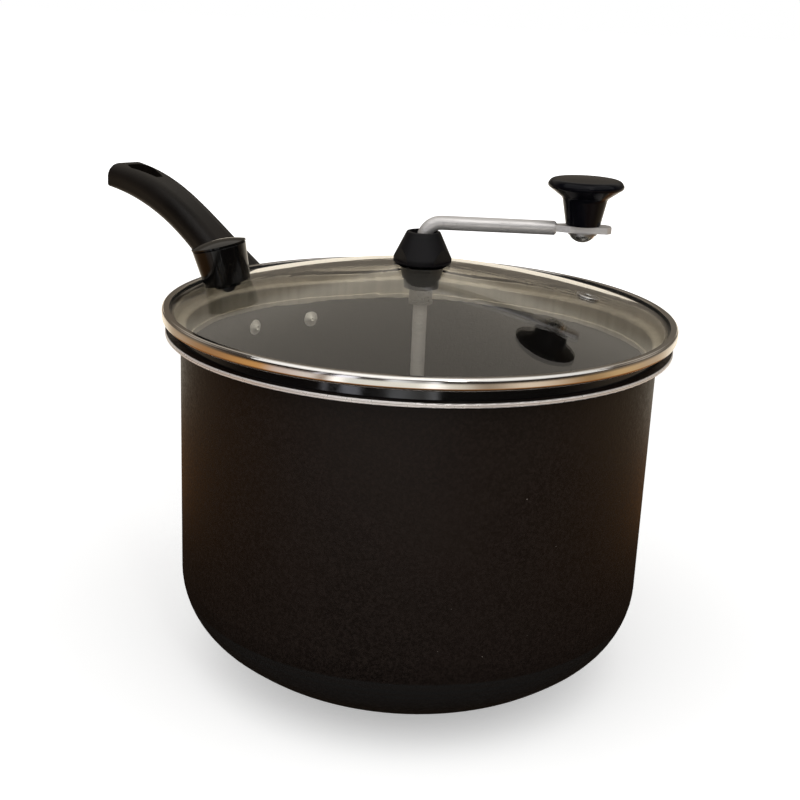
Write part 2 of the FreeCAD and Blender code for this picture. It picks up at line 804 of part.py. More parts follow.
def make_lid_glass():
    """The domed glass: a flat rim for the band and a flat crown for the hub."""
    hole = "(bush_radius + bush_hole_clearance)"
    body = new_body("lid_glass")
    revolve(
        body,
        [
            Corner(hole, CROWN_LOW),
            Corner("hub_seat_radius", CROWN_LOW),
            Bow("dome_radius - glass_thickness", 1),
            Corner(DOME_EDGE, GLASS_RIM_LOW),
            Corner(GLASS_RADIUS, GLASS_RIM_LOW),
            Corner(GLASS_RADIUS, GLASS_RIM_TOP),
            Corner(DOME_EDGE, GLASS_RIM_TOP),
            Bow("dome_radius", -1),
            Corner("hub_seat_radius", CRADLE),
            Corner(hole, CRADLE),
        ],
    )
    sunk = (
        "placement(vector(0; 0; -glass_thickness * 2);"
        " rotation(0 deg; 0 deg; 0 deg))"
    )
    for name, reach, azimuth, radius in (
        ("vent_hole", VENT_REACH, "vent_azimuth", "vent_tube_radius"),
        ("thumb_hole", THUMB_REACH, "thumb_azimuth", "thumb_screw_radius"),
    ):
        frame = f"{on_dome(reach, azimuth)} * {sunk}"
        whole = body.Tip
        cut = drill(body, radius, "glass_thickness * 4", frame, name)
        doc.recompute()
        assert cut.Shape.Volume < whole.Shape.Volume - 1, f"{name} is not cut"
    return body


def make_lid_band():
    """The rolled steel band: glass channel, step that rests on the lip, and skirt."""
    body = new_body("lid_band")
    sheet_in = "band_sheet"
    top_in = f"{BAND_TOP} - {sheet_in}"
    wall_in = f"{BAND_RADIUS} - {sheet_in}"
    floor_top = f"{BAND_BOTTOM} + {sheet_in}"
    skirt_low = "(pot_height - skirt_depth)"
    seat_top = f"(pot_height + {sheet_in})"
    skirt_in = f"{SKIRT_RADIUS} - {sheet_in}"
    step_in = f"{STEP_RADIUS} - {sheet_in}"
    tight = "band_sheet"
    revolve(
        body,
        [
            Corner(f"{BAND_RADIUS} - band_lip", top_in),
            Corner(wall_in, top_in, "band_round - band_sheet"),
            Corner(wall_in, floor_top, "band_round - band_sheet"),
            Corner(step_in, floor_top, f"{tight} * 2"),
            Corner(step_in, seat_top, tight),
            Corner(skirt_in, seat_top, f"{tight} * 2"),
            Corner(skirt_in, f"{skirt_low} + hem_height"),
            Corner(f"{SKIRT_RADIUS} - hem_width", f"{skirt_low} + hem_height", f"{tight} / 2"),
            Corner(f"{SKIRT_RADIUS} - hem_width", skirt_low, f"{tight} / 2"),
            Corner(SKIRT_RADIUS, skirt_low, f"{tight} / 2"),
            Corner(SKIRT_RADIUS, "pot_height", tight),
            Corner(STEP_RADIUS, "pot_height", f"{tight} * 2"),
            Corner(STEP_RADIUS, BAND_BOTTOM, tight),
            Corner(BAND_RADIUS, BAND_BOTTOM, "band_round"),
            Corner(BAND_RADIUS, BAND_TOP, "band_round"),
            Corner(f"{BAND_RADIUS} - band_lip", BAND_TOP, f"{tight} / 2"),
        ],
    )
    return body


def make_edge_seal():
    """The rubber channel between the glass rim and the band."""
    body = new_body("glass_edge_seal")
    outer = f"({BAND_RADIUS} - band_sheet)"
    lip = f"{BAND_RADIUS} - band_lip"
    foot = f"{DOME_EDGE} + seal_thickness"
    revolve(
        body,
        [
            Corner(foot, f"{GLASS_RIM_LOW} - seal_thickness"),
            Corner(outer, f"{GLASS_RIM_LOW} - seal_thickness", "band_round - band_sheet"),
            Corner(outer, f"{GLASS_RIM_TOP} + seal_thickness", "band_round - band_sheet"),
            Corner(lip, f"{GLASS_RIM_TOP} + seal_thickness"),
            Corner(lip, GLASS_RIM_TOP),
            Corner(GLASS_RADIUS, GLASS_RIM_TOP),
            Corner(GLASS_RADIUS, GLASS_RIM_LOW),
            Corner(foot, GLASS_RIM_LOW),
        ],
    )
    return body


def make_vent_grommet():
    """The steel eyelet that lets steam out through the glass."""
    body = new_body("vent_grommet", on_dome(VENT_REACH, "vent_azimuth"))
    low = "-glass_thickness"
    revolve(
        body,
        [
            Corner("vent_hole_radius", f"{low} - vent_flange"),
            Corner("vent_flange_radius - vent_flange", f"{low} - vent_flange", "vent_flange / 2"),
            Corner("vent_flange_radius - vent_flange", low),
            Corner("vent_tube_radius", low),
            Corner("vent_tube_radius", "0"),
            Corner("vent_flange_radius", "0"),
            Corner("vent_flange_radius", "vent_flange", "vent_flange * 0.6"),
            Corner("vent_hole_radius", "vent_flange", "vent_flange / 2"),
        ],
    )
    return body


THUMB_FRAME = on_dome(THUMB_REACH, "thumb_azimuth")


def make_thumb_knob():
    """The small knob beside the rim that the thumb holds the lid down by."""
    body = new_body("thumb_knob", THUMB_FRAME)
    low = "(thumb_washer / 4)"
    high = "(thumb_washer + thumb_height)"
    depth = "(thumb_washer + thumb_screw_depth)"
    # The skirt comes down round the washer and stops just off the glass.
    skirt = "(thumb_washer_radius + thumb_skirt_clearance)"
    revolve(
        body,
        [
            Corner("thumb_screw_radius", "thumb_washer"),
            Corner(skirt, "thumb_washer"),
            Corner(skirt, low),
            Corner("thumb_base_radius", low, "thumb_cap_edge / 4"),
            Corner("thumb_top_radius", high, "thumb_cap_edge / 3"),
            Corner("0", high),
            Corner("0", depth),
            Corner("thumb_screw_radius", depth),
        ],
    )
    return body


def make_thumb_cap():
    """The domed cap on the thumb knob, set off by a fine groove."""
    body = new_body("thumb_knob_cap", THUMB_FRAME)
    low = "(thumb_washer + thumb_height)"
    edge = f"({low} + thumb_cap_edge)"
    top = f"({low} + thumb_cap_height)"
    crown = "(thumb_cap_height - thumb_cap_edge)"
    revolve(
        body,
        [
            Corner("0", low),
            Corner("thumb_top_radius - thumb_cap_edge / 3", low),
            Corner("thumb_top_radius + thumb_cap_edge / 5", f"{low} + thumb_cap_edge / 3"),
            Corner("thumb_top_radius + thumb_cap_edge / 5", edge),
            Bow(f"((thumb_top_radius + thumb_cap_edge / 5)^2 / {crown} + {crown}) / 2", -1),
            Corner("0", top),
        ],
    )
    return body


def make_thumb_screw():
    """The screw that comes up through the glass into the thumb knob."""
    body = new_body("thumb_knob_screw", THUMB_FRAME)
    seat = "(-glass_thickness - thumb_washer)"
    head = f"({seat} - thumb_screw_head_height)"
    tip = "(thumb_washer + thumb_screw_depth)"
    radius = "thumb_screw_head_radius"
    revolve(
        body,
        [
            Corner("0", head),
            Bow(f"({radius}^2 / thumb_screw_head_height + thumb_screw_head_height) / 2", -1),
            Corner(radius, seat),
            Corner("thumb_screw_radius", seat),
            Corner("thumb_screw_radius", tip),
            Corner("0", tip),
        ],
    )
    return body


def make_hub_housing():
    """The conical hub on the glass: three flats, and a recess for the shaft's clip."""
    body = new_body("hub_housing")
    side_top = f"({HUB_BASE} + hub_side)"
    # The lip comes down round the gasket and stops just off the glass.
    lip_low = f"({CRADLE} + hub_gasket / 4)"
    turned = revolve(
        body,
        [
            Corner("bush_radius", HUB_BASE),
            Corner("hub_radius - hub_lip", HUB_BASE),
            Corner("hub_radius - hub_lip", lip_low),
            Corner("hub_radius", lip_low, "hub_top_round / 2"),
            Corner("hub_radius", side_top, "hub_shoulder_round"),
            Corner("hub_top_radius", HUB_TOP, "hub_top_round"),
            Corner("hub_recess_radius", HUB_TOP),
            Corner("hub_recess_radius", RECESS_FLOOR),
            Corner("bush_radius", RECESS_FLOOR),
        ],
    )
    doc.recompute()
    frame = (
        f"placement(vector(0; 0; {HUB_BASE});"
        " rotation(hub_flat_azimuth * 1 deg; 0 deg; 0 deg))"
    )
    flat = new_sketch(body, "flat_outline", "XY_Plane", frame)
    near = "(hub_radius - hub_flat_depth)"
    far = "(hub_radius + hub_flat_depth)"
    draw_outline(
        flat,
        [
            Corner(near, "-hub_radius"),
            Corner(far, "-hub_radius"),
            Corner(far, "hub_radius"),
            Corner(near, "hub_radius"),
        ],
    )
    cut = extrude(body, flat, "hub_height", "flat", "Pocket", turn=True)
    doc.recompute()
    assert cut.Shape.Volume < turned.Shape.Volume, "the flat cuts nothing"
    return repeat_about_axis(body, cut, 3)


def make_hub_bush():
    """The threaded bush through the glass that clamps the hub and carries the shaft."""
    body = new_body("hub_bush")
    revolve(
        body,
        [
            Corner(BUSH_BORE, BUSH_LOW),
            Corner("bush_radius", BUSH_LOW, "bush_flange / 2"),
            Corner("bush_radius", RECESS_FLOOR),
            Corner("bush_flange_radius", RECESS_FLOOR),
            Corner("bush_flange_radius", FLANGE_TOP, "bush_flange / 3"),
            Corner(BUSH_BORE, FLANGE_TOP),
        ],
    )
    return body


def make_hub_nut():
    """The tapered nut under the glass, with two flats for a spanner."""
    body = new_body("hub_nut")
    turned = revolve(
        body,
        [
            Corner("bush_radius", NUT_LOW),
            Corner("nut_end_radius", NUT_LOW, "nut_gasket"),
            Corner("nut_radius", NUT_TOP),
            Corner("bush_radius", NUT_TOP),
        ],
    )
    frame = f"placement(vector(0; 0; {NUT_LOW}); rotation(0 deg; 0 deg; 0 deg))"
    flat = new_sketch(body, "flat_outline", "XY_Plane", frame)
    draw_outline(
        flat,
        [
            Corner("nut_flat_width / 2", "-nut_radius"),
            Corner("nut_radius * 2", "-nut_radius"),
            Corner("nut_radius * 2", "nut_radius"),
            Corner("nut_flat_width / 2", "nut_radius"),
        ],
    )
    cut = extrude(body, flat, "nut_flat_height", "flat", "Pocket", turn=True)
    doc.recompute()
    assert cut.Shape.Volume < turned.Shape.Volume, "the flat cuts nothing"
    return repeat_about_axis(body, cut, 2)


def make_crank_rod():
    """One rod: shaft, bend and level arm, flattened and drilled for the knob's spindle."""
    body = new_body("crank_rod")
    spine = new_sketch(body, "spine", "XZ_Plane")
    draw_outline(
        spine,
        [
            Corner("0", ROD_LOW),
            Corner("0", ARM_HEIGHT, "bend_radius"),
            Corner("arm_length - arm_end_chamfer", ARM_HEIGHT),
        ],
        closed=False,
    )
    frame = f"placement(vector(0; 0; {ROD_LOW}); rotation(0 deg; 0 deg; 0 deg))"
    section = new_sketch(body, "section", "XY_Plane", frame)
    draw_circle(section, "rod_radius")
    rod = body.newObject("PartDesign::AdditivePipe", "crank_rod_pipe")
    rod.Profile = section
    rod.Spine = (spine, [])
    doc.recompute()
    add_arm_end(body)
    add_tang(body)
    for name, low in (("upper_groove", UPPER_CLIP), ("lower_groove", LOWER_CLIP)):
        high = f"({low} + clip_thickness)"
        revolve(
            body,
            [
                Corner(GROOVE_RADIUS, low),
                Corner("rod_radius + clip_groove", low),
                Corner("rod_radius + clip_groove", high),
                Corner(GROOVE_RADIUS, high),
            ],
            name,
            "Groove",
        )
    return body


def add_arm_end(body):
    """The bevelled end of the round part of the arm."""
    frame = f"placement(vector(0; {ARM_HEIGHT}; 0); rotation(0 deg; 0 deg; 0 deg))"
    sketch = new_sketch(body, "arm_end_outline", "XZ_Plane", frame)
    draw_outline(
        sketch,
        [
            Corner("arm_length - arm_end_chamfer", "0"),
            Corner("arm_length", "0"),
            Corner("arm_length", "rod_radius - arm_end_chamfer"),
            Corner("arm_length - arm_end_chamfer", "rod_radius"),
        ],
    )
    turned = body.newObject("PartDesign::Revolution", "crank_rod_arm_end")
    turned.Profile = sketch
    turned.ReferenceAxis = (sketch, ["H_Axis"])
    turned.Angle = 360


def add_tang(body):
    """The flattened end of the arm, bevelled at its corners, with the spindle's hole."""
    frame = f"placement(vector(0; 0; {TANG_LOW}); rotation(0 deg; 0 deg; 0 deg))"
    tang = new_sketch(body, "tang_outline", "XY_Plane", frame)
    root = "(arm_length - arm_end_chamfer * 2)"
    wide = "(arm_length + tang_neck_length)"
    end = f"({KNOB_REACH} + tang_tail)"
    draw_outline(
        tang,
        [
            Corner(root, "-tang_neck_half_width"),
            Corner("arm_length + arm_end_chamfer", "-tang_neck_half_width", "tang_chamfer"),
            Corner(wide, "-tang_half_width", "tang_chamfer"),
            Corner(f"{end} - tang_chamfer", "-tang_half_width"),
            Corner(end, "-tang_half_width + tang_chamfer"),
            Corner(end, "tang_half_width - tang_chamfer"),
            Corner(f"{end} - tang_chamfer", "tang_half_width"),
            Corner(wide, "tang_half_width", "tang_chamfer"),
            Corner("arm_length + arm_end_chamfer", "tang_neck_half_width", "tang_chamfer"),
            Corner(root, "tang_neck_half_width"),
        ],
    )
    extrude(body, tang, "tang_thickness", "tang")
    hole = (
        f"placement(vector({KNOB_REACH}; 0; {TANG_LOW} - tang_thickness);"
        " rotation(0 deg; 0 deg; 0 deg))"
    )
    drill(body, "spindle_radius", "tang_thickness * 3", hole, "spindle_hole")


def make_shaft_clips():
    """The two spring clips in the shaft's grooves, one each side of the bush."""
    lower = clip_solid("lower_clip", LOWER_CLIP)
    upper = clip_solid("upper_clip", UPPER_CLIP)
    return group_solids("shaft_clips", [lower, upper])


def clip_solid(name, low):
    """One open clip: a flat ring with a mouth."""
    body = new_body(name)
    high = f"({low} + clip_thickness)"
    revolve(
        body,
        [
            Corner(GROOVE_RADIUS, low),
            Corner("clip_radius", low),
            Corner("clip_radius", high),
            Corner(GROOVE_RADIUS, high),
        ],
    )
    frame = f"placement(vector(0; 0; {low}); rotation(0 deg; 0 deg; 0 deg))"
    mouth = new_sketch(body, "mouth_outline", "XY_Plane", frame)
    draw_outline(
        mouth,
        [
            Corner("-clip_opening / 2", "0"),
            Corner("clip_opening / 2", "0"),
            Corner("clip_opening / 2", "clip_radius * 2"),
            Corner("-clip_opening / 2", "clip_radius * 2"),
        ],
    )
    extrude(body, mouth, "clip_thickness", "mouth", "Pocket", turn=True)
    return body


def group_solids(name, bodies):
    """One node that holds several like solids side by side."""
    group = doc.addObject("Part::Compound", name)
    group.Label = name
    group.Links = bodies
    return group


def knob_frame(low="0"):
    """The frame of the crank knob's own axis."""
    return f"placement(vector({KNOB_REACH}; 0; {low}); rotation(0 deg; 0 deg; 0 deg))"


def make_crank_knob():
    """The mushroom knob that turns on its spindle at the end of the arm."""
    body = new_body("crank_knob", knob_frame(KNOB_BASE))
    bore = "(spindle_radius + running_clearance)"
    cup = "(knob_height - knob_bore_depth)"
    plug_floor = "(knob_height - knob_plug_depth)"
    cup_radius = "(spindle_top_radius + knob_cup_clearance)"
    revolve(
        body,
        [
            Corner(bore, "0"),
            Corner("knob_base_radius", "0", "knob_rim_round / 2"),
            Corner("knob_neck_radius", "knob_neck_height", "knob_flare_round"),
            Corner("knob_rim_radius", "knob_rim_height", "knob_rim_round"),
            Corner("knob_top_radius", "knob_height - knob_crown", "knob_rim_round * 2"),
            Corner("knob_plug_radius", "knob_height"),
            Corner("knob_plug_radius", plug_floor),
            Corner(cup_radius, plug_floor),
            Corner(cup_radius, cup),
            Corner(bore, cup),
        ],
    )
    return body


def make_crank_knob_plug():
    """The plug that closes the knob's top over the spindle's head."""
    body = new_body("crank_knob_plug", knob_frame(KNOB_BASE))
    low = "(knob_height - knob_plug_depth)"
    top = "(knob_height + knob_crown / 5)"
    revolve(
        body,
        [
            Corner("0", low),
            Corner("knob_plug_radius", low),
            Corner("knob_plug_radius", "knob_height"),
            Corner("0", top),
        ],
    )
    return body


def make_knob_spindle():
    """The shouldered rivet that holds the knob on the arm, domed below."""
    body = new_body("knob_spindle", knob_frame())
    seat = f"({TANG_LOW} - spindle_washer)"
    low = f"({seat} - spindle_head_height)"
    top_seat = f"({KNOB_BASE} + knob_height - knob_bore_depth + end_play)"
    top = f"({top_seat} + spindle_top_height)"
    dome = (
        "(spindle_head_radius^2 / spindle_head_height + spindle_head_height) / 2"
    )
    revolve(
        body,
        [
            Corner("0", low),
            Bow(dome, -1),
            Corner("spindle_head_radius", seat),
            Corner("spindle_radius", seat),
            Corner("spindle_radius", top_seat),
            Corner("spindle_top_radius", top_seat),
            Corner("spindle_top_radius", top, "spindle_top_height / 3"),
            Corner("0", top),
        ],
    )
    return body


def make_stirrer_boss():
    """The boss on the shaft's foot that holds the stirring wire and its screw."""
    body = new_body("stirrer_boss")
    high = f"({BOSS_LOW} + boss_height)"
    revolve(
        body,
        [
            Corner("0", BOSS_LOW),
            Corner("boss_radius", BOSS_LOW, "wire_radius"),
            Corner("boss_radius", high, "wire_radius"),
            Corner("rod_radius", high),
            Corner("rod_radius", ROD_LOW),
            Corner("0", ROD_LOW),
        ],
    )
    wire_hole = (
        f"placement(vector(0; -boss_radius * 2; {WIRE_HEIGHT});"
        " rotation(90 deg; 90 deg; 0 deg))"
    )
    drill(body, "wire_radius", "boss_radius * 4", wire_hole, "wire_hole")
    screw_hole = (
        f"placement(vector(0; 0; {BOSS_LOW} + boss_screw_height);"
        " rotation(0 deg; 90 deg; 0 deg))"
    )
    drill(body, "boss_screw_radius", "boss_radius * 2", screw_hole, "screw_hole")
    return body


def make_boss_screw():
    """The headless screw that locks the boss to the shaft."""
    frame = (
        f"placement(vector(0; 0; {BOSS_LOW} + boss_screw_height);"
        " rotation(0 deg; 90 deg; 0 deg))"
    )
    body = new_body("boss_screw", frame)
    outer = "(boss_radius - boss_screw_socket / 2)"
    revolve(
        body,
        [
            Corner("0", "rod_radius"),
            Corner("boss_screw_radius", "rod_radius"),
            Corner("boss_screw_radius", outer),
            Corner("boss_screw_socket", outer),
            Corner("boss_screw_socket", f"{outer} - boss_screw_socket"),
            Corner("0", f"{outer} - boss_screw_socket"),
        ],
    )
    return body


def make_stirrer_wire():
    """The stirring wire: through the boss, flat over the floor, up at both ends."""
    body = new_body("stirrer_wire")
    spine = new_sketch(body, "spine", "YZ_Plane")
    tip = f"{WIRE_HEIGHT} + wire_tip_rise"
    draw_outline(
        spine,
        [
            Corner(f"-{WIRE_TIP}", tip),
            Corner(f"-{WIRE_FLAT}", WIRE_HEIGHT, "wire_bend"),
            Corner(WIRE_FLAT, WIRE_HEIGHT, "wire_bend"),
            Corner(WIRE_TIP, tip),
        ],
        closed=False,
    )
    lean = f"atan(wire_tip_rise / ({WIRE_TIP} - {WIRE_FLAT}))"
    frame = (
        f"placement(vector(0; {tip}; {WIRE_TIP});"
        f" rotation(vector(1; 0; 0); -{lean}))"
    )
    section = new_sketch(body, "section", "XZ_Plane", frame)
    draw_circle(section, "wire_radius")
    wire = body.newObject("PartDesign::AdditivePipe", "stirrer_wire_pipe")
    wire.Profile = section
    wire.Spine = (spine, [])
    return body


def build():
    """Every piece of the popper, in the order it goes together."""
    bush_gap = "(bush_radius + bush_hole_clearance / 2)"
    gasket_radius = "hub_radius - hub_lip - hub_lip_clearance"
    thumb_screw = "thumb_screw_radius"
    gasket_seat = "(-glass_thickness - thumb_washer)"
    pieces = [
        make_pot_shell(),
        make_handle_bracket(),
        make_handle_rivets(),
        make_handle_grip(),
        make_handle_screw(),
        make_lid_glass(),
        make_lid_band(),
        make_edge_seal(),
        make_vent_grommet(),
        make_thumb_knob(),
        make_thumb_cap(),
        ring("thumb_knob_washer", thumb_screw, "thumb_washer_radius", "0", "thumb_washer", THUMB_FRAME),
        ring(
            "thumb_knob_gasket", thumb_screw, "thumb_washer_radius",
            gasket_seat, "thumb_washer", THUMB_FRAME,
        ),
        make_thumb_screw(),
        make_hub_housing(),
        ring("hub_gasket_ring", bush_gap, gasket_radius, CRADLE, "hub_gasket"),
        make_hub_bush(),
        ring("nut_gasket_ring", bush_gap, "nut_radius", NUT_TOP, "nut_gasket"),
        make_hub_nut(),
        make_crank_rod(),
        make_shaft_clips(),
        group_solids(
            "thrust_washers",
            [
                ring("upper_washer", BUSH_BORE, "thrust_washer_radius", UPPER_WASHER, "thrust_washer"),
                ring("lower_washer", BUSH_BORE, "thrust_washer_radius", LOWER_WASHER, "thrust_washer"),
            ],
        ),
        make_stirrer_boss(),
        make_boss_screw(),
        make_stirrer_wire(),
        make_knob_spindle(),
        ring(
            "spindle_washer_ring",
            "spindle_radius",
            "spindle_washer_radius",
            f"({TANG_LOW} - spindle_washer)",
            "spindle_washer",
            knob_frame(),
        ),
        make_crank_knob(),
        make_crank_knob_plug(),
    ]
    doc.recompute()
    return pieces


def check_and_export(pieces):
    """Stops on any failed object or shape, then writes one file per piece."""
    failed = [
        item.Name
        for item in doc.Objects
        if "Invalid" in item.State or "Error" in item.State
    ]
    if failed:
        raise RuntimeError(f"these objects failed: {failed}")
    os.makedirs("parts", exist_ok=True)
    for piece in pieces:
        shape = piece.Shape
        if shape.isNull() or not shape.isValid() or not shape.Solids:
            raise RuntimeError(f"{piece.Label} has no valid solid")
        shape.exportStep(f"parts/{piece.Label}.step")
        print(f"{piece.Label}: {len(shape.Solids)} solid, {shape.Volume:.0f} mm3")


check_and_export(build())
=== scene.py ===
import logging
import math
from dataclasses import dataclass, replace
from enum import Enum
from typing import Protocol

import bmesh
import bpy
from mathutils import Matrix, Vector


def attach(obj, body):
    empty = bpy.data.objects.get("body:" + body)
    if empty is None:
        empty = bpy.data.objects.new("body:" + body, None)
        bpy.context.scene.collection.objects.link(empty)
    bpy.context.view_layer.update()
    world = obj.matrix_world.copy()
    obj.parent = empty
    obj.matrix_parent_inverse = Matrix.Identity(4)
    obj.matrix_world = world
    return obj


# Looks of the stovetop popcorn popper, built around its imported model.
# Metres, +Z up, origin at the centre of the pot's base, the crank arm along +X.

LOG = logging.getLogger("popper")
Colour = tuple[float, float, float]
Stops = tuple[tuple[float, Colour], ...]
Socket = bpy.types.NodeSocket

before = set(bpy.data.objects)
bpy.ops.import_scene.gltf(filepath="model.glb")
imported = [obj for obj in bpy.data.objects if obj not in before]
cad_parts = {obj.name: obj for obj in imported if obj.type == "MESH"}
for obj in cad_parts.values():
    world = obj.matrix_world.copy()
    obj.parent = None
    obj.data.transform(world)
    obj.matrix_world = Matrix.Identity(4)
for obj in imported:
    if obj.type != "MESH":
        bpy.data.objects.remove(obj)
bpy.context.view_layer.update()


class Ray(Enum):
    """The kinds of ray that a shader can ask about."""

    CAMERA = "Is Camera Ray"
    GLOSSY = "Is Glossy Ray"
    TRANSMISSION = "Is Transmission Ray"
    SHADOW = "Is Shadow Ray"


class Room(Enum):
    """What shiny surfaces mirror: colours by the share of a turn, from behind round to behind."""

    # Soft warm zones with pale windows in front, for what stands near the pot.
    WARM = (
        (0.0, (1.25, 1.14, 0.96)),
        (0.09, (1.10, 0.99, 0.81)),
        (0.16, (0.46, 0.36, 0.25)),
        (0.24, (0.40, 0.22, 0.10)),
        (0.32, (0.60, 0.31, 0.10)),
        (0.345, (0.66, 0.53, 0.46)),
        (0.385, (0.78, 0.70, 0.64)),
        (0.40, (0.36, 0.28, 0.22)),
        (0.415, (1.5, 1.45, 1.4)),
        (0.43, (0.85, 0.84, 0.78)),
        (0.50, (0.92, 0.89, 0.80)),
        (0.518, (1.5, 1.45, 1.4)),
        (0.54, (0.80, 0.75, 0.66)),
        (0.575, (0.34, 0.27, 0.20)),
        (0.62, (0.78, 0.64, 0.50)),
        (0.70, (0.40, 0.26, 0.13)),
        (0.75, (0.64, 0.46, 0.24)),
        (0.82, (0.54, 0.42, 0.29)),
        (0.91, (1.10, 0.99, 0.81)),
        (1.0, (1.25, 1.14, 0.96)),
    )
    # Dark in front with thin pale strips and warm behind, for what stands further off.
    DARK = (
        (0.0, (1.0, 0.91, 0.76)),
        (0.09, (0.92, 0.82, 0.67)),
        (0.18, (0.26, 0.20, 0.14)),
        (0.30, (0.03, 0.022, 0.018)),
        (0.385, (0.03, 0.022, 0.018)),
        (0.392, (0.9, 0.88, 0.95)),
        (0.398, (0.03, 0.025, 0.022)),
        (0.408, (0.03, 0.025, 0.022)),
        (0.416, (1.2, 1.2, 1.35)),
        (0.432, (1.1, 1.1, 1.2)),
        (0.438, (0.04, 0.035, 0.03)),
        (0.462, (0.10, 0.09, 0.085)),
        (0.475, (0.85, 0.86, 0.88)),
        (0.508, (0.38, 0.37, 0.36)),
        (0.522, (0.95, 0.95, 0.97)),
        (0.53, (0.04, 0.035, 0.032)),
        (0.66, (0.03, 0.024, 0.02)),
        (0.80, (0.26, 0.20, 0.14)),
        (0.91, (0.92, 0.82, 0.67)),
        (1.0, (1.0, 0.91, 0.76)),
    )


class Rider(Enum):
    """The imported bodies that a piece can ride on."""

    POT = "pot"
    LID = "lid"
    CRANK = "crank"
    CRANK_KNOB = "crank_knob"


class Shading:
    """One node tree, with short ways to add nodes and join them."""

    def __init__(self, name: str, tree: bpy.types.NodeTree | None = None) -> None:
        """Starts a material with one principled shader, or takes over a given tree.

        Args:
            name: The material's name.
            tree: A tree to work in, such as the world's, in place of a new material's.
        """
        self.material: bpy.types.Material | None = None
        if tree is None:
            self.material = bpy.data.materials.new(name)
            self.material.use_nodes = True
            tree = self.material.node_tree
        self.tree = tree
        self.tree.nodes.clear()
        if self.material:
            self.output = self.add("ShaderNodeOutputMaterial")
            self.surface = self.add("ShaderNodeBsdfPrincipled")
            self.join(self.surface.outputs[0], self.output.inputs["Surface"])

    def add(self, kind: str, **settings: object) -> bpy.types.Node:
        """Adds a node of that kind and sets its properties.

        Args:
            kind: The node's type name.
            settings: Properties of the node, such as operation.

        Returns:
            The new node.
        """
        node = self.tree.nodes.new(kind)
        for key, setting in settings.items():
            setattr(node, key, setting)
        return node

    def join(self, source: Socket | float | Colour, target: Socket) -> None:
        """Feeds a socket from another socket, or sets it to a constant."""
        if isinstance(source, bpy.types.NodeSocket):
            self.tree.links.new(source, target)
        elif isinstance(source, tuple) and target.type == "RGBA":
            target.default_value = (*source, 1.0)
        else:
            target.default_value = source

    def set(self, **inputs: Socket | float | Colour) -> None:
        """Sets or feeds the principled shader's inputs, named with _ for each space."""
        for key, source in inputs.items():
            self.join(source, self.surface.inputs[key.replace("_", " ")])

    def place(self) -> Socket:
        """The point's own coordinates on the piece, in metres."""
        return self.add("ShaderNodeTexCoord").outputs["Object"]

    def calc(self, operation: str, *terms: Socket | float) -> Socket:
        """One sum on one to three terms.

        Args:
            operation: The name of the sum, such as MULTIPLY.
            terms: Sockets or numbers.

        Returns:
            The result's socket.
        """
        node = self.add("ShaderNodeMath", operation=operation)
        for term, target in zip(terms, node.inputs):
            self.join(term, target)
        return node.outputs[0]

    def split(self, vector: Socket) -> tuple[Socket, Socket, Socket]:
        """The three parts of a vector."""
        node = self.add("ShaderNodeSeparateXYZ")
        self.join(vector, node.inputs[0])
        return node.outputs[0], node.outputs[1], node.outputs[2]

    def bundle(self, x: Socket | float, y: Socket | float, z: Socket | float) -> Socket:
        """A vector of three parts."""
        node = self.add("ShaderNodeCombineXYZ")
        for part, target in zip((x, y, z), node.inputs):
            self.join(part, target)
        return node.outputs[0]

    def stretch(self, vector: Socket, scale: Colour, shift: Colour = (0, 0, 0)) -> Socket:
        """A vector scaled and shifted for a pattern."""
        node = self.add("ShaderNodeMapping")
        self.join(vector, node.inputs["Vector"])
        node.inputs["Scale"].default_value = scale
        node.inputs["Location"].default_value = shift
        return node.outputs[0]

    def round_the_axis(self) -> tuple[Socket, Socket, Socket]:
        """Reach from the frame's upright axis, angle round it in radians, and height."""
        x, y, z = self.split(self.place())
        across = self.calc("MULTIPLY", x, x)
        along = self.calc("MULTIPLY", y, y)
        reach = self.calc("SQRT", self.calc("ADD", across, along))
        return reach, self.calc("ARCTAN2", y, x), z

    def noise(
        self,
        vector: Socket,
        scale: float,
        detail: float = 3.0,
        roughness: float = 0.5,
        distortion: float = 0.0,
    ) -> Socket:
        """A soft random pattern from 0 to 1.

        Args:
            vector: Where to read the pattern.
            scale: How many features lie in one unit.
            detail: How many finer layers it has.
            roughness: How strong the finer layers are.
            distortion: How far it swirls.

        Returns:
            The pattern's socket.
        """
        node = self.add("ShaderNodeTexNoise")
        self.join(vector, node.inputs["Vector"])
        node.inputs["Scale"].default_value = scale
        node.inputs["Detail"].default_value = detail
        node.inputs["Roughness"].default_value = roughness
        node.inputs["Distortion"].default_value = distortion
        return node.outputs[0]

    def cells(self, vector: Socket, scale: float) -> tuple[Socket, Socket]:
        """Scattered points: the distance to the nearest one, and its own random number."""
        node = self.add("ShaderNodeTexVoronoi")
        self.join(vector, node.inputs["Vector"])
        node.inputs["Scale"].default_value = scale
        chance = self.split(node.outputs["Color"])[0]
        return node.outputs["Distance"], chance

    def span(
        self,
        source: Socket,
        low: float,
        high: float,
        to_low: float = 0.0,
        to_high: float = 1.0,
        smooth: bool = True,
    ) -> Socket:
        """Maps low..high to another range, held at its ends.

        Args:
            source: The number to map.
            low: Where the range starts.
            high: Where it ends.
            to_low: The result at low.
            to_high: The result at high.
            smooth: Whether it eases in and out.

        Returns:
            The mapped number's socket.
        """
        node = self.add("ShaderNodeMapRange")
        node.interpolation_type = "SMOOTHSTEP" if smooth else "LINEAR"
        for term, target in zip((source, low, high, to_low, to_high), node.inputs):
            self.join(term, target)
        return node.outputs[0]

    def blend(
        self, share: Socket | float, first: Socket | Colour, second: Socket | Colour
    ) -> Socket:
        """A colour between two colours."""
        node = self.add("ShaderNodeMix", data_type="RGBA")
        self.join(share, node.inputs[0])
        self.join(first, node.inputs[6])
        self.join(second, node.inputs[7])
        return node.outputs[2]

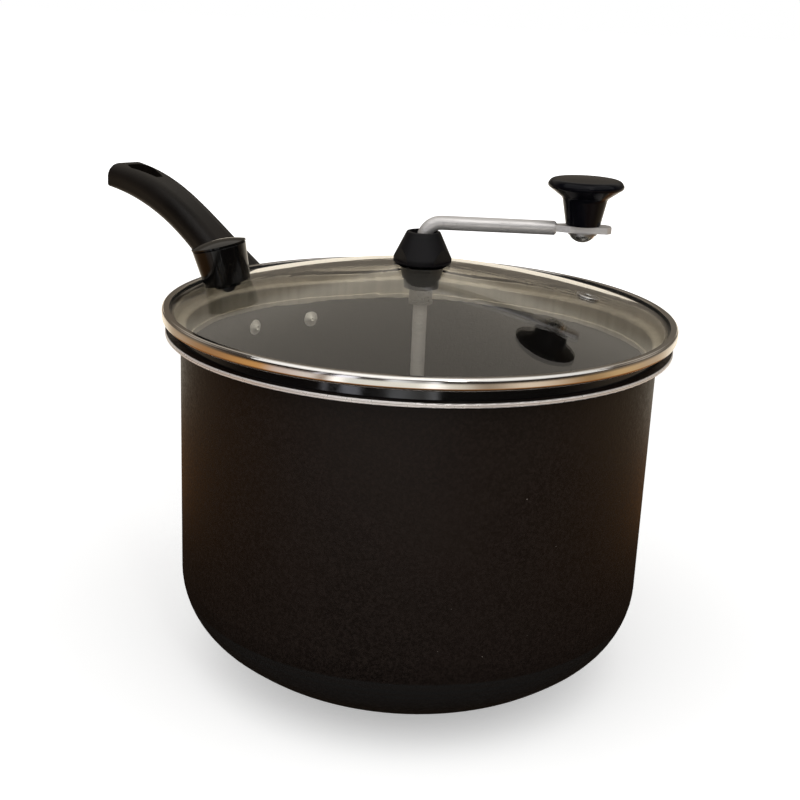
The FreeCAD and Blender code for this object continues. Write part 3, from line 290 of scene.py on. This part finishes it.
    def ramp(self, share: Socket, stops: Stops) -> Socket:
        """A run of colours along a number from 0 to 1.

        Args:
            share: The number.
            stops: Where each colour stands, and the colour.

        Returns:
            The colour's socket.
        """
        node = self.add("ShaderNodeValToRGB")
        self.join(share, node.inputs[0])
        node.color_ramp.interpolation = "EASE"
        marks = node.color_ramp.elements
        for _ in range(len(stops) - len(marks)):
            marks.new(0.5)
        for mark, (position, colour) in zip(marks, stops):
            mark.position = position
            mark.color = (*colour, 1.0)
        return node.outputs[0]

    def relief(self, height: Socket, depth: float, strength: float = 1.0) -> None:
        """Gives the surface fine relief from a height from 0 to 1.

        Args:
            height: The height's socket.
            depth: What a height of 1 stands for, in metres.
            strength: How much of it shows.
        """
        node = self.add("ShaderNodeBump")
        self.join(height, node.inputs["Height"])
        node.inputs["Distance"].default_value = depth
        node.inputs["Strength"].default_value = strength
        self.join(node.outputs[0], self.surface.inputs["Normal"])

    def ray(self, kind: Ray) -> Socket:
        """1 where the ray is of this kind."""
        return self.add("ShaderNodeLightPath").outputs[kind.value]

    def plainly_seen(self) -> Socket:
        """1 where the camera looks straight at it or through glass, not after a mirror."""
        paths = self.add("ShaderNodeLightPath")
        mirrors = paths.outputs["Glossy Depth"]
        through = paths.outputs[Ray.TRANSMISSION.value]
        straight = self.calc("MULTIPLY", through, self.calc("LESS_THAN", mirrors, 0.5))
        return self.calc("MAXIMUM", paths.outputs[Ray.CAMERA.value], straight)

    def mirrored(self) -> Socket:
        """1 where the ray has met a mirror, also when it then went through glass."""
        paths = self.add("ShaderNodeLightPath")
        met = self.calc("GREATER_THAN", paths.outputs["Glossy Depth"], 0.5)
        through = self.calc("MULTIPLY", met, paths.outputs[Ray.TRANSMISSION.value])
        return self.calc("MAXIMUM", paths.outputs[Ray.GLOSSY.value], through)

    def room(self, kind: Room, across: Socket, along: Socket) -> Socket:
        """The colour that a room shows in one direction.

        Args:
            kind: Which room.
            across: The X part of the direction or the place.
            along: Its Y part.

        Returns:
            The colour's socket.
        """
        turn = self.calc("ARCTAN2", across, self.calc("MULTIPLY", along, -1.0))
        return self.ramp(self.span(turn, -math.pi, math.pi, smooth=False), kind.value)

    def choose(self, share: Socket, first: Socket, second: Socket) -> Socket:
        """A mix of two shaders."""
        node = self.add("ShaderNodeMixShader")
        for source, target in zip((share, first, second), node.inputs):
            self.join(source, target)
        return node.outputs[0]


class Finish(Protocol):
    """Anything that can paint itself as a material."""

    def paint(self) -> bpy.types.Material:
        """Builds the nodes and returns the material."""


def darker(colour: Colour, share: float) -> Colour:
    """A colour with each channel cut to a share."""
    red, green, blue = colour
    return red * share, green * share, blue * share


@dataclass(frozen=True)
class PotCoating:
    """The pot's hard dark coat, mottled like leather, with a bare bright lip edge and a thin line
    of painted shade round it.
    """

    dark: Colour = (0.0056, 0.0036, 0.0028)
    light: Colour = (0.0150, 0.0095, 0.0072)
    inside: Colour = (0.012, 0.0118, 0.0115)
    bare: Colour = (0.88, 0.84, 0.81)
    # worn_edge_and_groove_shade colours both the real wear ticks and the painted shade line on
    # the lip edge.
    worn_edge_and_groove_shade: Colour = (0.30, 0.26, 0.24)
    fleck: Colour = (0.20, 0.17, 0.15)
    edge_reach: float = 0.11815
    edge_metal: float = 0.55
    wall_reach: float = 0.1105
    inside_top: float = 0.1652
    inside_floor: float = 0.0025
    turning: float = 3800.0
    # The groove fields place a thin dark line of painted shade round the lip edge, where a groove
    # would be shaded.
    groove_shade_height: float = 0.16505
    groove_shade_half: float = 0.00020
    groove_shade_core: float = 0.00006
    specular: float = 0.18
    relief_depth: float = 0.00022

    def paint(self) -> bpy.types.Material:
        """Builds the coat's nodes and returns the material."""
        s = Shading("pot_coating")
        at = s.place()
        reach, angle, height = s.round_the_axis()
        grain = s.noise(at, 620.0, 4.0, 0.62, 0.6)
        clouds = s.noise(at, 14.0, 3.0, 0.55)
        coat = s.blend(s.span(grain, 0.36, 0.68), self.dark, self.light)
        coat = s.blend(s.span(clouds, 0.3, 0.75, 0.0, 0.45), coat, self.light)
        distance, chance = s.cells(at, 210.0)
        fleck = s.calc(
            "MULTIPLY", s.span(distance, 0.07, 0.03), s.span(chance, 0.955, 0.96)
        )
        scratches = s.noise(s.stretch(at, (900.0, 900.0, 60.0)), 1.0, 2.0, 0.5, 1.5)
        scratch = s.calc("MULTIPLY", s.span(scratches, 0.74, 0.80), s.span(clouds, 0.55, 0.7))
        marks = s.calc("MAXIMUM", fleck, s.calc("MULTIPLY", scratch, 0.25))
        coat = s.blend(marks, coat, self.fleck)
        turned = s.calc("SINE", s.calc("MULTIPLY", reach, self.turning))
        within = s.calc(
            "MULTIPLY", s.span(reach, self.wall_reach, self.wall_reach - 0.0004),
            s.span(height, self.inside_top, self.inside_top - 0.0008),
        )
        above = s.span(height, self.inside_floor, self.inside_floor + 0.0004)
        within = s.calc("MULTIPLY", within, above)
        inner = s.blend(s.span(turned, -1.0, 1.0, 0.0, 0.25), self.inside, self.light)
        coat = s.blend(within, coat, inner)
        edge = s.span(reach, self.edge_reach - 0.0001, self.edge_reach + 0.0001)
        ticks = s.noise(s.bundle(s.calc("MULTIPLY", angle, 60.0), height, 0.0), 14.0, 4.0, 0.7)
        # Painted shade: a thin dark line at one height on the lip edge. worn below carries it
        # together with the real wear ticks.
        groove_shade = s.calc("ABSOLUTE", s.calc("SUBTRACT", height, self.groove_shade_height))
        groove_shade = s.span(groove_shade, self.groove_shade_half, self.groove_shade_core)
        worn = s.calc("MAXIMUM", groove_shade, s.span(ticks, 0.5, 0.8, 0.0, 0.35))
        bare = s.blend(s.calc("MULTIPLY", worn, 0.7), self.bare, self.worn_edge_and_groove_shade)
        s.set(
            Base_Color=s.blend(edge, coat, bare),
            Metallic=s.calc("MULTIPLY", edge, self.edge_metal),
            Roughness=s.calc(
                "ADD", s.span(grain, 0.3, 0.7, 0.36, 0.52), s.calc("MULTIPLY", edge, -0.1)
            ),
            Specular_IOR_Level=self.specular,
        )
        leather = s.calc("ADD", grain, s.calc("MULTIPLY", clouds, 0.6))
        coated = s.calc("SUBTRACT", 1.0, edge)
        s.relief(s.calc("MULTIPLY", leather, coated), self.relief_depth, 0.5)
        return s.material


@dataclass(frozen=True)
class PolishedSteel:
    """Rolled and polished steel with faint warm patches of painted reflection, satin on the skirt
    inside.

    The relief makes the outer face look bowed, because its flat section is rolled.
    """

    name: str = "polished_steel"
    bright: Colour = (0.80, 0.775, 0.74)
    # The warm colour and its share give patches of painted reflection of warm surroundings.
    warm_reflection: Colour = (0.52, 0.33, 0.19)
    reflection_warmth: float = 0.35
    smooth: float = 0.06
    rough: float = 0.15
    satin: Colour = (0.66, 0.60, 0.49)
    satin_shade: float = 0.84
    satin_metal: float = 0.45
    satin_rough: float = 0.32
    inner_reach: float = 0.1135
    face_reach: float = 0.1191
    face_middle: float = 0.1737
    face_bow: float = 24.0

    def paint(self) -> bpy.types.Material:
        """Builds the steel's nodes and returns the material."""
        s = Shading(self.name)
        reach, angle, height = s.round_the_axis()
        at = s.place()
        patches = s.noise(s.stretch(at, (7.0, 7.0, 60.0), (0.9, 0.35, 0.0)), 1.0, 2.0, 0.5)
        lines = s.noise(
            s.bundle(s.calc("MULTIPLY", angle, 3.0), s.calc("MULTIPLY", height, 2600.0), reach),
            1.0, 3.0, 0.6,
        )
        # Painted reflection: big warm patches mixed into the colour, standing in for warm
        # surroundings mirrored in the band.
        painted_reflection = s.calc("MULTIPLY", s.span(patches, 0.42, 0.62), self.reflection_warmth)
        inner = s.span(reach, self.inner_reach + 0.0003, self.inner_reach)
        streaks = s.bundle(
            s.calc("MULTIPLY", angle, 26.0), s.calc("MULTIPLY", height, 8.0), 0.0
        )
        rolled = s.span(s.noise(streaks, 1.0, 3.0), 0.35, 0.7)
        satin = s.blend(rolled, self.satin, darker(self.satin, self.satin_shade))
        polish = s.span(lines, 0.3, 0.7, self.smooth, self.rough)
        s.set(
            Base_Color=s.blend(inner, s.blend(painted_reflection, self.bright, self.warm_reflection), satin),
            Metallic=s.span(inner, 0.0, 1.0, 1.0, self.satin_metal),
            Roughness=s.calc("ADD", polish, s.calc("MULTIPLY", inner, self.satin_rough)),
        )
        off = s.calc("SUBTRACT", height, self.face_middle)
        bow = s.calc("MULTIPLY", s.calc("MULTIPLY", off, off), -self.face_bow)
        face = s.span(reach, self.face_reach, self.face_reach + 0.0004)
        s.relief(s.calc("MULTIPLY", bow, face), 1.0)
        return s.material


@dataclass(frozen=True)
class BrushedMetal:
    """Plain metal, brushed or turned, with small knocks."""

    name: str
    tint: Colour
    roughness: float = 0.36
    grain: Colour = (60.0, 1500.0, 1500.0)
    depth: float = 0.00003
    metallic: float = 1.0
    shade: float = 0.62

    def paint(self) -> bpy.types.Material:
        """Builds the metal's nodes and returns the material."""
        s = Shading(self.name)
        at = s.place()
        brushed = s.noise(s.stretch(at, self.grain), 1.0, 3.0, 0.6)
        knocks = s.noise(at, 240.0, 3.0, 0.6)
        share = s.calc(
            "ADD", s.span(brushed, 0.3, 0.75, 0.0, 0.35), s.span(knocks, 0.55, 0.75, 0.0, 0.35)
        )
        s.set(
            Base_Color=s.blend(share, self.tint, darker(self.tint, self.shade)),
            Metallic=self.metallic,
            Roughness=s.span(brushed, 0.25, 0.75, self.roughness - 0.08, self.roughness + 0.12),
        )
        s.relief(s.calc("ADD", brushed, knocks), self.depth, 0.6)
        return s.material


@dataclass(frozen=True)
class MouldedPlastic:
    """Dark moulded plastic: satin or glossy, with the mould's fine grain."""

    name: str
    tint: Colour
    worn: Colour
    roughness: float = 0.4
    grain_scale: float = 1100.0
    grain_depth: float = 0.00005
    specular: float = 0.5

    def paint(self) -> bpy.types.Material:
        """Builds the plastic's nodes and returns the material."""
        s = Shading(self.name)
        at = s.place()
        grain = s.noise(at, self.grain_scale, 3.0, 0.6)
        clouds = s.noise(at, 26.0, 3.0, 0.55)
        s.set(
            Base_Color=s.blend(s.span(clouds, 0.35, 0.75), self.tint, self.worn),
            Roughness=s.calc(
                "ADD",
                s.span(clouds, 0.3, 0.7, self.roughness - 0.05, self.roughness + 0.06),
                s.span(grain, 0.3, 0.7, -0.03, 0.03),
            ),
            Specular_IOR_Level=self.specular,
        )
        s.relief(grain, self.grain_depth, 0.5)
        return s.material


@dataclass(frozen=True)
class ClearGlass:
    """The lid's clear glass, with a breath of grease and a little dust."""

    tint: Colour = (0.95, 0.925, 0.87)
    dusty: Colour = (0.75, 0.74, 0.72)
    shadow: Colour = (0.92, 0.93, 0.92)
    refraction: float = 1.5

    def paint(self) -> bpy.types.Material:
        """Builds the glass's nodes and returns the material."""
        s = Shading("clear_glass")
        at = s.place()
        film = s.noise(at, 18.0, 4.0, 0.6, 0.8)
        distance, chance = s.cells(at, 160.0)
        dust = s.calc("MULTIPLY", s.span(distance, 0.06, 0.02), s.span(chance, 0.93, 0.94))
        grease = s.span(film, 0.5, 0.8, 0.0, 0.012)
        s.set(
            Base_Color=s.blend(dust, self.tint, self.dusty),
            Roughness=s.calc("ADD", grease, s.calc("MULTIPLY", dust, 0.5)),
            Transmission_Weight=1.0,
            IOR=self.refraction,
        )
        clear = s.add("ShaderNodeBsdfTransparent")
        s.join(self.shadow, clear.inputs[0])
        lets_light = s.choose(s.ray(Ray.SHADOW), s.surface.outputs[0], clear.outputs[0])
        s.join(lets_light, s.output.inputs["Surface"])
        return s.material


@dataclass(frozen=True)
class Rubber:
    """Black rubber with a dusty, uneven skin."""

    name: str = "black_rubber"
    tint: Colour = (0.012, 0.012, 0.012)
    dusty: Colour = (0.035, 0.034, 0.033)
    roughness: float = 0.6

    def paint(self) -> bpy.types.Material:
        """Builds the rubber's nodes and returns the material."""
        s = Shading(self.name)
        at = s.place()
        skin = s.noise(at, 500.0, 3.0, 0.6)
        s.set(
            Base_Color=s.blend(s.span(skin, 0.4, 0.8), self.tint, self.dusty),
            Roughness=s.span(skin, 0.3, 0.7, self.roughness - 0.08, self.roughness + 0.08),
        )
        s.relief(skin, 0.00004, 0.4)
        return s.material


def dress(nodes: tuple[str, ...], material: bpy.types.Material) -> None:
    """Gives carried-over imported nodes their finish.

    Args:
        nodes: The nodes' names.
        material: The finish for every one of them.
    """
    for name in nodes:
        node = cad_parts[name]
        node.data.materials.clear()
        node.data.materials.append(material)
        LOG.info("dressed %s in %s", name, material.name)


def finish_piece(
    mesh: bmesh.types.BMesh,
    name: str,
    rider: Rider,
    material: bpy.types.Material,
    sharp_degrees: float = 35.0,
) -> bpy.types.Object:
    """Turns a finished bmesh into a piece that rides on a body.

    Args:
        mesh: The built bmesh, in metres, in the frame. It is freed.
        name: The piece's name.
        rider: The body that carries it.
        material: Its finish.
        sharp_degrees: Edges that turn more than this stay crisp.

    Returns:
        The new object.
    """
    bmesh.ops.remove_doubles(mesh, verts=mesh.verts, dist=1e-7)
    bmesh.ops.recalc_face_normals(mesh, faces=mesh.faces)
    data = bpy.data.meshes.new(name)
    mesh.to_mesh(data)
    mesh.free()
    data.shade_smooth()
    data.set_sharp_from_angle(angle=math.radians(sharp_degrees))
    data.materials.append(material)
    piece = bpy.data.objects.new(name, data)
    bpy.context.scene.collection.objects.link(piece)
    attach(piece, rider.value)
    LOG.info("built %s with %d faces", name, len(data.polygons))
    return piece


def turn_profile(profile: list[tuple[float, float]], steps: int) -> bmesh.types.BMesh:
    """Spins a closed section round the Z axis.

    Args:
        profile: The section's corners as reach and height.
        steps: How many sides the round has.

    Returns:
        The spun bmesh.
    """
    mesh = bmesh.new()
    corners = [mesh.verts.new((reach, 0.0, height)) for reach, height in profile]
    for first, second in zip(corners, corners[1:] + corners[:1]):
        mesh.edges.new((first, second))
    bmesh.ops.spin(
        mesh,
        geom=mesh.verts[:] + mesh.edges[:],
        cent=(0.0, 0.0, 0.0),
        axis=(0.0, 0.0, 1.0),
        angle=math.tau,
        steps=steps,
        use_merge=True,
    )
    return mesh


PLAIN_STEEL = BrushedMetal("plain_steel", (0.62, 0.61, 0.6), 0.32, (700.0, 700.0, 700.0))


@dataclass
class SubAssembly:
    """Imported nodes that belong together, with their finishes."""

    def finishes(self) -> list[tuple[Finish, tuple[str, ...]]]:
        """Each finish, with the nodes that wear it."""
        return []

    def build(self) -> None:
        """Dresses the nodes."""
        for finish, nodes in self.finishes():
            dress(nodes, finish.paint())


@dataclass
class Pot(SubAssembly):
    """The pot with its handle, bracket, rivets and screw."""

    coat: PotCoating = PotCoating()
    grip: MouldedPlastic = MouldedPlastic(
        "grip_plastic", (0.0042, 0.003, 0.0024), (0.008, 0.0056, 0.0042), 0.36, specular=0.2
    )
    bracket: MouldedPlastic = MouldedPlastic(
        "bracket_paint", (0.012, 0.011, 0.01), (0.02, 0.018, 0.016), 0.45
    )
    rivets: BrushedMetal = BrushedMetal(
        "rivet_aluminium", (0.9, 0.88, 0.82), 0.3, metallic=0.3
    )
    screw: BrushedMetal = replace(PLAIN_STEEL, name="handle_screw_steel")

    def finishes(self) -> list[tuple[Finish, tuple[str, ...]]]:
        """Each finish, with the nodes that wear it."""
        return [
            (self.coat, ("pot_shell",)),
            (self.grip, ("handle_grip",)),
            (self.bracket, ("handle_bracket",)),
            (self.rivets, ("handle_rivets",)),
            (self.screw, ("handle_screw",)),
        ]


@dataclass
class Lid(SubAssembly):
    """The glass in its band, with the vent, the thumb knob, the hub, and a glossy black ring that
    paints the step's dark reflection and shade.
    """

    glass: ClearGlass = ClearGlass()
    band: PolishedSteel = PolishedSteel()
    rubber: Rubber = Rubber()
    eyelet: BrushedMetal = BrushedMetal("eyelet_steel", (0.7, 0.68, 0.65), 0.22)
    thumb_knob: MouldedPlastic = MouldedPlastic(
        "gloss_black", (0.0026, 0.0023, 0.0022), (0.004, 0.0036, 0.0034), 0.12,
        grain_scale=500.0, grain_depth=0.00001, specular=0.3,
    )
    hub: MouldedPlastic = MouldedPlastic(
        "hub_plastic", (0.0045, 0.004, 0.0048), (0.0095, 0.0085, 0.0095), 0.44,
        grain_scale=1500.0, grain_depth=0.00012, specular=0.16,
    )
    plain: BrushedMetal = PLAIN_STEEL
    nut: BrushedMetal = BrushedMetal("nut_aluminium", (0.6, 0.58, 0.56), 0.34)
    # A thin black sheet over the steel step, standing in for the step's dark reflection and
    # shade.
    ring: MouldedPlastic = MouldedPlastic(
        "step_shade_black", (0.003, 0.003, 0.0035), (0.006, 0.006, 0.006), 0.08,
        grain_scale=600.0, grain_depth=0.00001, specular=1.0,
    )
    ring_inner: float = 0.1138
    ring_thickness: float = 0.0009
    ring_low: float = 0.16615
    ring_high: float = 0.17075
    ring_taper: float = 0.0005
    ring_steps: int = 256

    def finishes(self) -> list[tuple[Finish, tuple[str, ...]]]:
        """Each finish, with the nodes that wear it."""
        seals = (
            "glass_edge_seal", "thumb_knob_washer", "thumb_knob_gasket",
            "hub_gasket_ring", "nut_gasket_ring",
        )
        return [
            (self.glass, ("lid_glass",)),
            (self.band, ("lid_band",)),
            (self.eyelet, ("vent_grommet",)),
            (self.thumb_knob, ("thumb_knob", "thumb_knob_cap")),
            (self.rubber, seals),
            (self.hub, ("hub_housing",)),
            (self.plain, ("hub_bush", "thumb_knob_screw")),
            (self.nut, ("hub_nut",)),
        ]

    def build(self) -> None:
        """Dresses the nodes and adds the black ring of painted shade over the step."""
        super().build()
        self.add_step_shade_ring()

    def add_step_shade_ring(self) -> None:
        """A thin glossy black ring laid over the band's steel step, between the band and the
        pot's lip, as painted dark reflection and shade.
        """
        outer = self.ring_inner + self.ring_thickness
        section = [
            (self.ring_inner, self.ring_low),
            (outer, self.ring_low),
            (outer - self.ring_taper, self.ring_high),
            (self.ring_inner, self.ring_high),
        ]
        mesh = turn_profile(section, self.ring_steps)
        finish_piece(mesh, "lid_step_shade_ring", Rider.LID, self.ring.paint())


@dataclass
class Crank(SubAssembly):
    """The rod with its clips and washers, the knob, and the stirrer."""

    rod: BrushedMetal = BrushedMetal(
        "rod_steel", (0.74, 0.715, 0.70), 0.36, (90.0, 1400.0, 1400.0),
        depth=0.00006, metallic=0.6,
    )
    wire: BrushedMetal = BrushedMetal(
        "wire_steel", (0.64, 0.63, 0.62), 0.32, (1400.0, 90.0, 1400.0)
    )
    boss: BrushedMetal = BrushedMetal("boss_aluminium", (0.66, 0.65, 0.63), 0.34)
    clips: BrushedMetal = BrushedMetal(
        "clip_steel", (0.5, 0.49, 0.48), 0.34, (900.0, 900.0, 900.0)
    )
    spindle: BrushedMetal = BrushedMetal(
        "spindle_steel", (0.72, 0.71, 0.69), 0.24, (800.0, 800.0, 800.0)
    )
    knob: MouldedPlastic = MouldedPlastic(
        "knob_gloss", (0.0016, 0.0016, 0.003), (0.0025, 0.0025, 0.0045), 0.14,
        grain_scale=500.0, grain_depth=0.00001, specular=0.12,
    )

    def finishes(self) -> list[tuple[Finish, tuple[str, ...]]]:
        """Each finish, with the nodes that wear it."""
        return [
            (self.rod, ("crank_rod",)),
            (self.wire, ("stirrer_wire",)),
            (self.boss, ("stirrer_boss",)),
            (self.clips, ("shaft_clips", "thrust_washers", "boss_screw", "spindle_washer_ring")),
            (self.spindle, ("knob_spindle",)),
            (self.knob, ("crank_knob", "crank_knob_plug")),
        ]


@dataclass(frozen=True)
class Lamp:
    """A soft rectangular lamp that faces the popper."""

    name: str
    place: Colour
    width: float
    height: float
    watts: float
    aim: Colour = (0.0, 0.0, 0.12)

    def hang(self) -> None:
        """Adds the lamp to the scene."""
        light = bpy.data.lights.new(self.name, "AREA")
        light.shape = "RECTANGLE"
        light.size = self.width
        light.size_y = self.height
        light.energy = self.watts
        lamp = bpy.data.objects.new(self.name, light)
        lamp.location = self.place
        towards = Vector(self.aim) - Vector(self.place)
        lamp.rotation_euler = towards.to_track_quat("-Z", "Y").to_euler()
        bpy.context.scene.collection.objects.link(lamp)


@dataclass
class Studio:
    """The pale floor, the soft light and the camera.

    A reach is a span of distances from the pot's axis, over which the floor changes. The
    spans named up and along are parts of a unit direction, over which the surroundings change.
    """

    lamps: tuple[Lamp, ...] = (
        Lamp("key", (-0.65, -0.75, 1.6), 2.3, 2.0, 14.0),
        Lamp("fill", (0.9, -0.5, 1.5), 2.0, 1.6, 8.0),
        Lamp("glint", (0.35, -1.1, 1.0), 0.16, 0.4, 0.9),
    )
    floor_half: float = 12.0
    floor_drop: float = 0.0003
    floor_colour: Colour = (0.8, 0.8, 0.8)
    foot_colour: Colour = (0.03, 0.018, 0.011)
    table_colour: Colour = (0.30, 0.135, 0.045)
    foot_reach: tuple[float, float] = (0.22, 0.30)
    warm_reach: tuple[float, float] = (0.40, 0.52)
    dark_reach: tuple[float, float] = (0.80, 1.0)
    glow_reach: tuple[float, float] = (0.3, 1.6)
    glow_strength: tuple[float, float] = (0.42, 0.95)
    sky: Colour = (0.5, 0.495, 0.485)
    backdrop: Colour = (1.0, 1.0, 1.0)
    ceiling: Colour = (0.05, 0.04, 0.033)
    low_behind: Colour = (0.14, 0.122, 0.10)
    high_behind: Colour = (0.47, 0.435, 0.385)
    overhead: Colour = (0.40, 0.38, 0.35)
    ceiling_up: tuple[float, float] = (0.12, 0.3)
    high_up: tuple[float, float] = (0.30, 0.44)
    overhead_up: tuple[float, float] = (0.70, 0.95)
    behind_along: tuple[float, float] = (0.15, 0.6)
    camera_back: float = 0.60577
    camera_up: float = 0.31907
    lens_mm: float = 59.255
    sensor_mm: float = 36.0
    yaw: float = -0.0119
    pitch: float = 0.3027
    roll: float = 0.0473

    def build(self) -> None:
        """Sets up the floor, the world, the lamps and the camera."""
        self.lay_floor()
        self.light_world()
        for lamp in self.lamps:
            lamp.hang()
        self.place_camera()
        bpy.context.scene.view_settings.view_transform = "Standard"

    def lay_floor(self) -> None:
        """Adds the plain pale floor, white to the camera apart from the soft shadow."""
        mesh = bmesh.new()
        bmesh.ops.create_grid(mesh, x_segments=1, y_segments=1, size=self.floor_half)
        bmesh.ops.translate(mesh, vec=(0.0, 0.0, -self.floor_drop), verts=mesh.verts)
        data = bpy.data.meshes.new("floor")
        mesh.to_mesh(data)
        mesh.free()
        data.materials.append(self.paint_floor())
        floor = bpy.data.objects.new("floor", data)
        bpy.context.scene.collection.objects.link(floor)

    def paint_floor(self) -> bpy.types.Material:
        """Paints the floor: pale with a glow where it is seen, and zones where it is mirrored."""
        s = Shading("floor_paint")
        reach, _, _ = s.round_the_axis()
        across, along, _ = s.split(s.place())
        s.set(Base_Color=self.floor_colour, Roughness=0.9, Specular_IOR_Level=0.0)
        glow = s.add("ShaderNodeEmission")
        strength = s.span(reach, *self.glow_reach, *self.glow_strength)
        s.join(s.calc("MULTIPLY", s.plainly_seen(), strength), glow.inputs["Strength"])
        seen = s.add("ShaderNodeAddShader")
        s.join(s.surface.outputs[0], seen.inputs[0])
        s.join(glow.outputs[0], seen.inputs[1])
        zones = s.blend(s.span(reach, *self.foot_reach), self.foot_colour, self.table_colour)
        warm_reflection = s.room(Room.WARM, across, along)
        zones = s.blend(s.span(reach, *self.warm_reach), zones, warm_reflection)
        dark = s.room(Room.DARK, across, along)
        zones = s.blend(s.span(reach, *self.dark_reach), zones, dark)
        mirrored = s.add("ShaderNodeEmission")
        s.join(zones, mirrored.inputs[0])
        either = s.choose(s.mirrored(), seen.outputs[0], mirrored.outputs[0])
        s.join(either, s.output.inputs["Surface"])
        return s.material

    def light_world(self) -> None:
        """Even light from all round, a white backdrop, and zones for what mirrors."""
        world = bpy.data.worlds.new("studio")
        bpy.context.scene.world = world
        world.use_nodes = True
        s = Shading("studio", world.node_tree)
        output = s.add("ShaderNodeOutputWorld")
        lit = s.add("ShaderNodeBackground")
        direction = s.add("ShaderNodeTexCoord").outputs["Generated"]
        across, along, up = s.split(direction)
        dark = s.room(Room.DARK, across, along)
        gloss = s.blend(s.span(up, *self.ceiling_up), dark, self.ceiling)
        behind = s.blend(s.span(up, *self.high_up), self.low_behind, self.high_behind)
        gloss = s.blend(s.span(along, *self.behind_along), gloss, behind)
        gloss = s.blend(s.span(up, *self.overhead_up), gloss, self.overhead)
        colour = s.blend(s.mirrored(), self.sky, gloss)
        colour = s.blend(s.plainly_seen(), colour, self.backdrop)
        s.join(colour, lit.inputs["Color"])
        s.join(lit.outputs[0], output.inputs["Surface"])

    def place_camera(self) -> None:
        """Puts the camera where the photograph was taken from."""
        yaw_cos, yaw_sin = math.cos(self.yaw), math.sin(self.yaw)
        roll_cos, roll_sin = math.cos(self.roll), math.sin(self.roll)
        level = Vector((1.0, 0.0, 0.0))
        ahead = Vector((0.0, math.cos(self.pitch), -math.sin(self.pitch)))
        over = Vector((0.0, math.sin(self.pitch), math.cos(self.pitch)))
        right = yaw_cos * level - yaw_sin * ahead
        forward = yaw_sin * level + yaw_cos * ahead
        across = roll_cos * right + roll_sin * over
        upward = -roll_sin * right + roll_cos * over
        data = bpy.data.cameras.new("camera")
        data.sensor_width = self.sensor_mm
        data.lens = self.lens_mm
        data.clip_start = 0.01
        camera = bpy.data.objects.new("camera", data)
        turn = Matrix((across, upward, -forward)).transposed().to_4x4()
        camera.matrix_world = Matrix.Translation((0.0, -self.camera_back, self.camera_up)) @ turn
        bpy.context.scene.collection.objects.link(camera)
        bpy.context.scene.camera = camera


def corners(box: tuple[Vector, Vector]) -> list[list[float]]:
    """A box's two corners as plain lists."""
    return [[float(part) for part in corner] for corner in box]


def main() -> None:
    """Builds every sub-assembly in order."""
    logging.basicConfig(level=logging.INFO, format="%(name)s: %(message)s")
    for assembly in (Pot(), Lid(), Crank(), Studio()):
        assembly.build()
    bpy.context.view_layer.update()


if __name__ == "__main__":
    main()
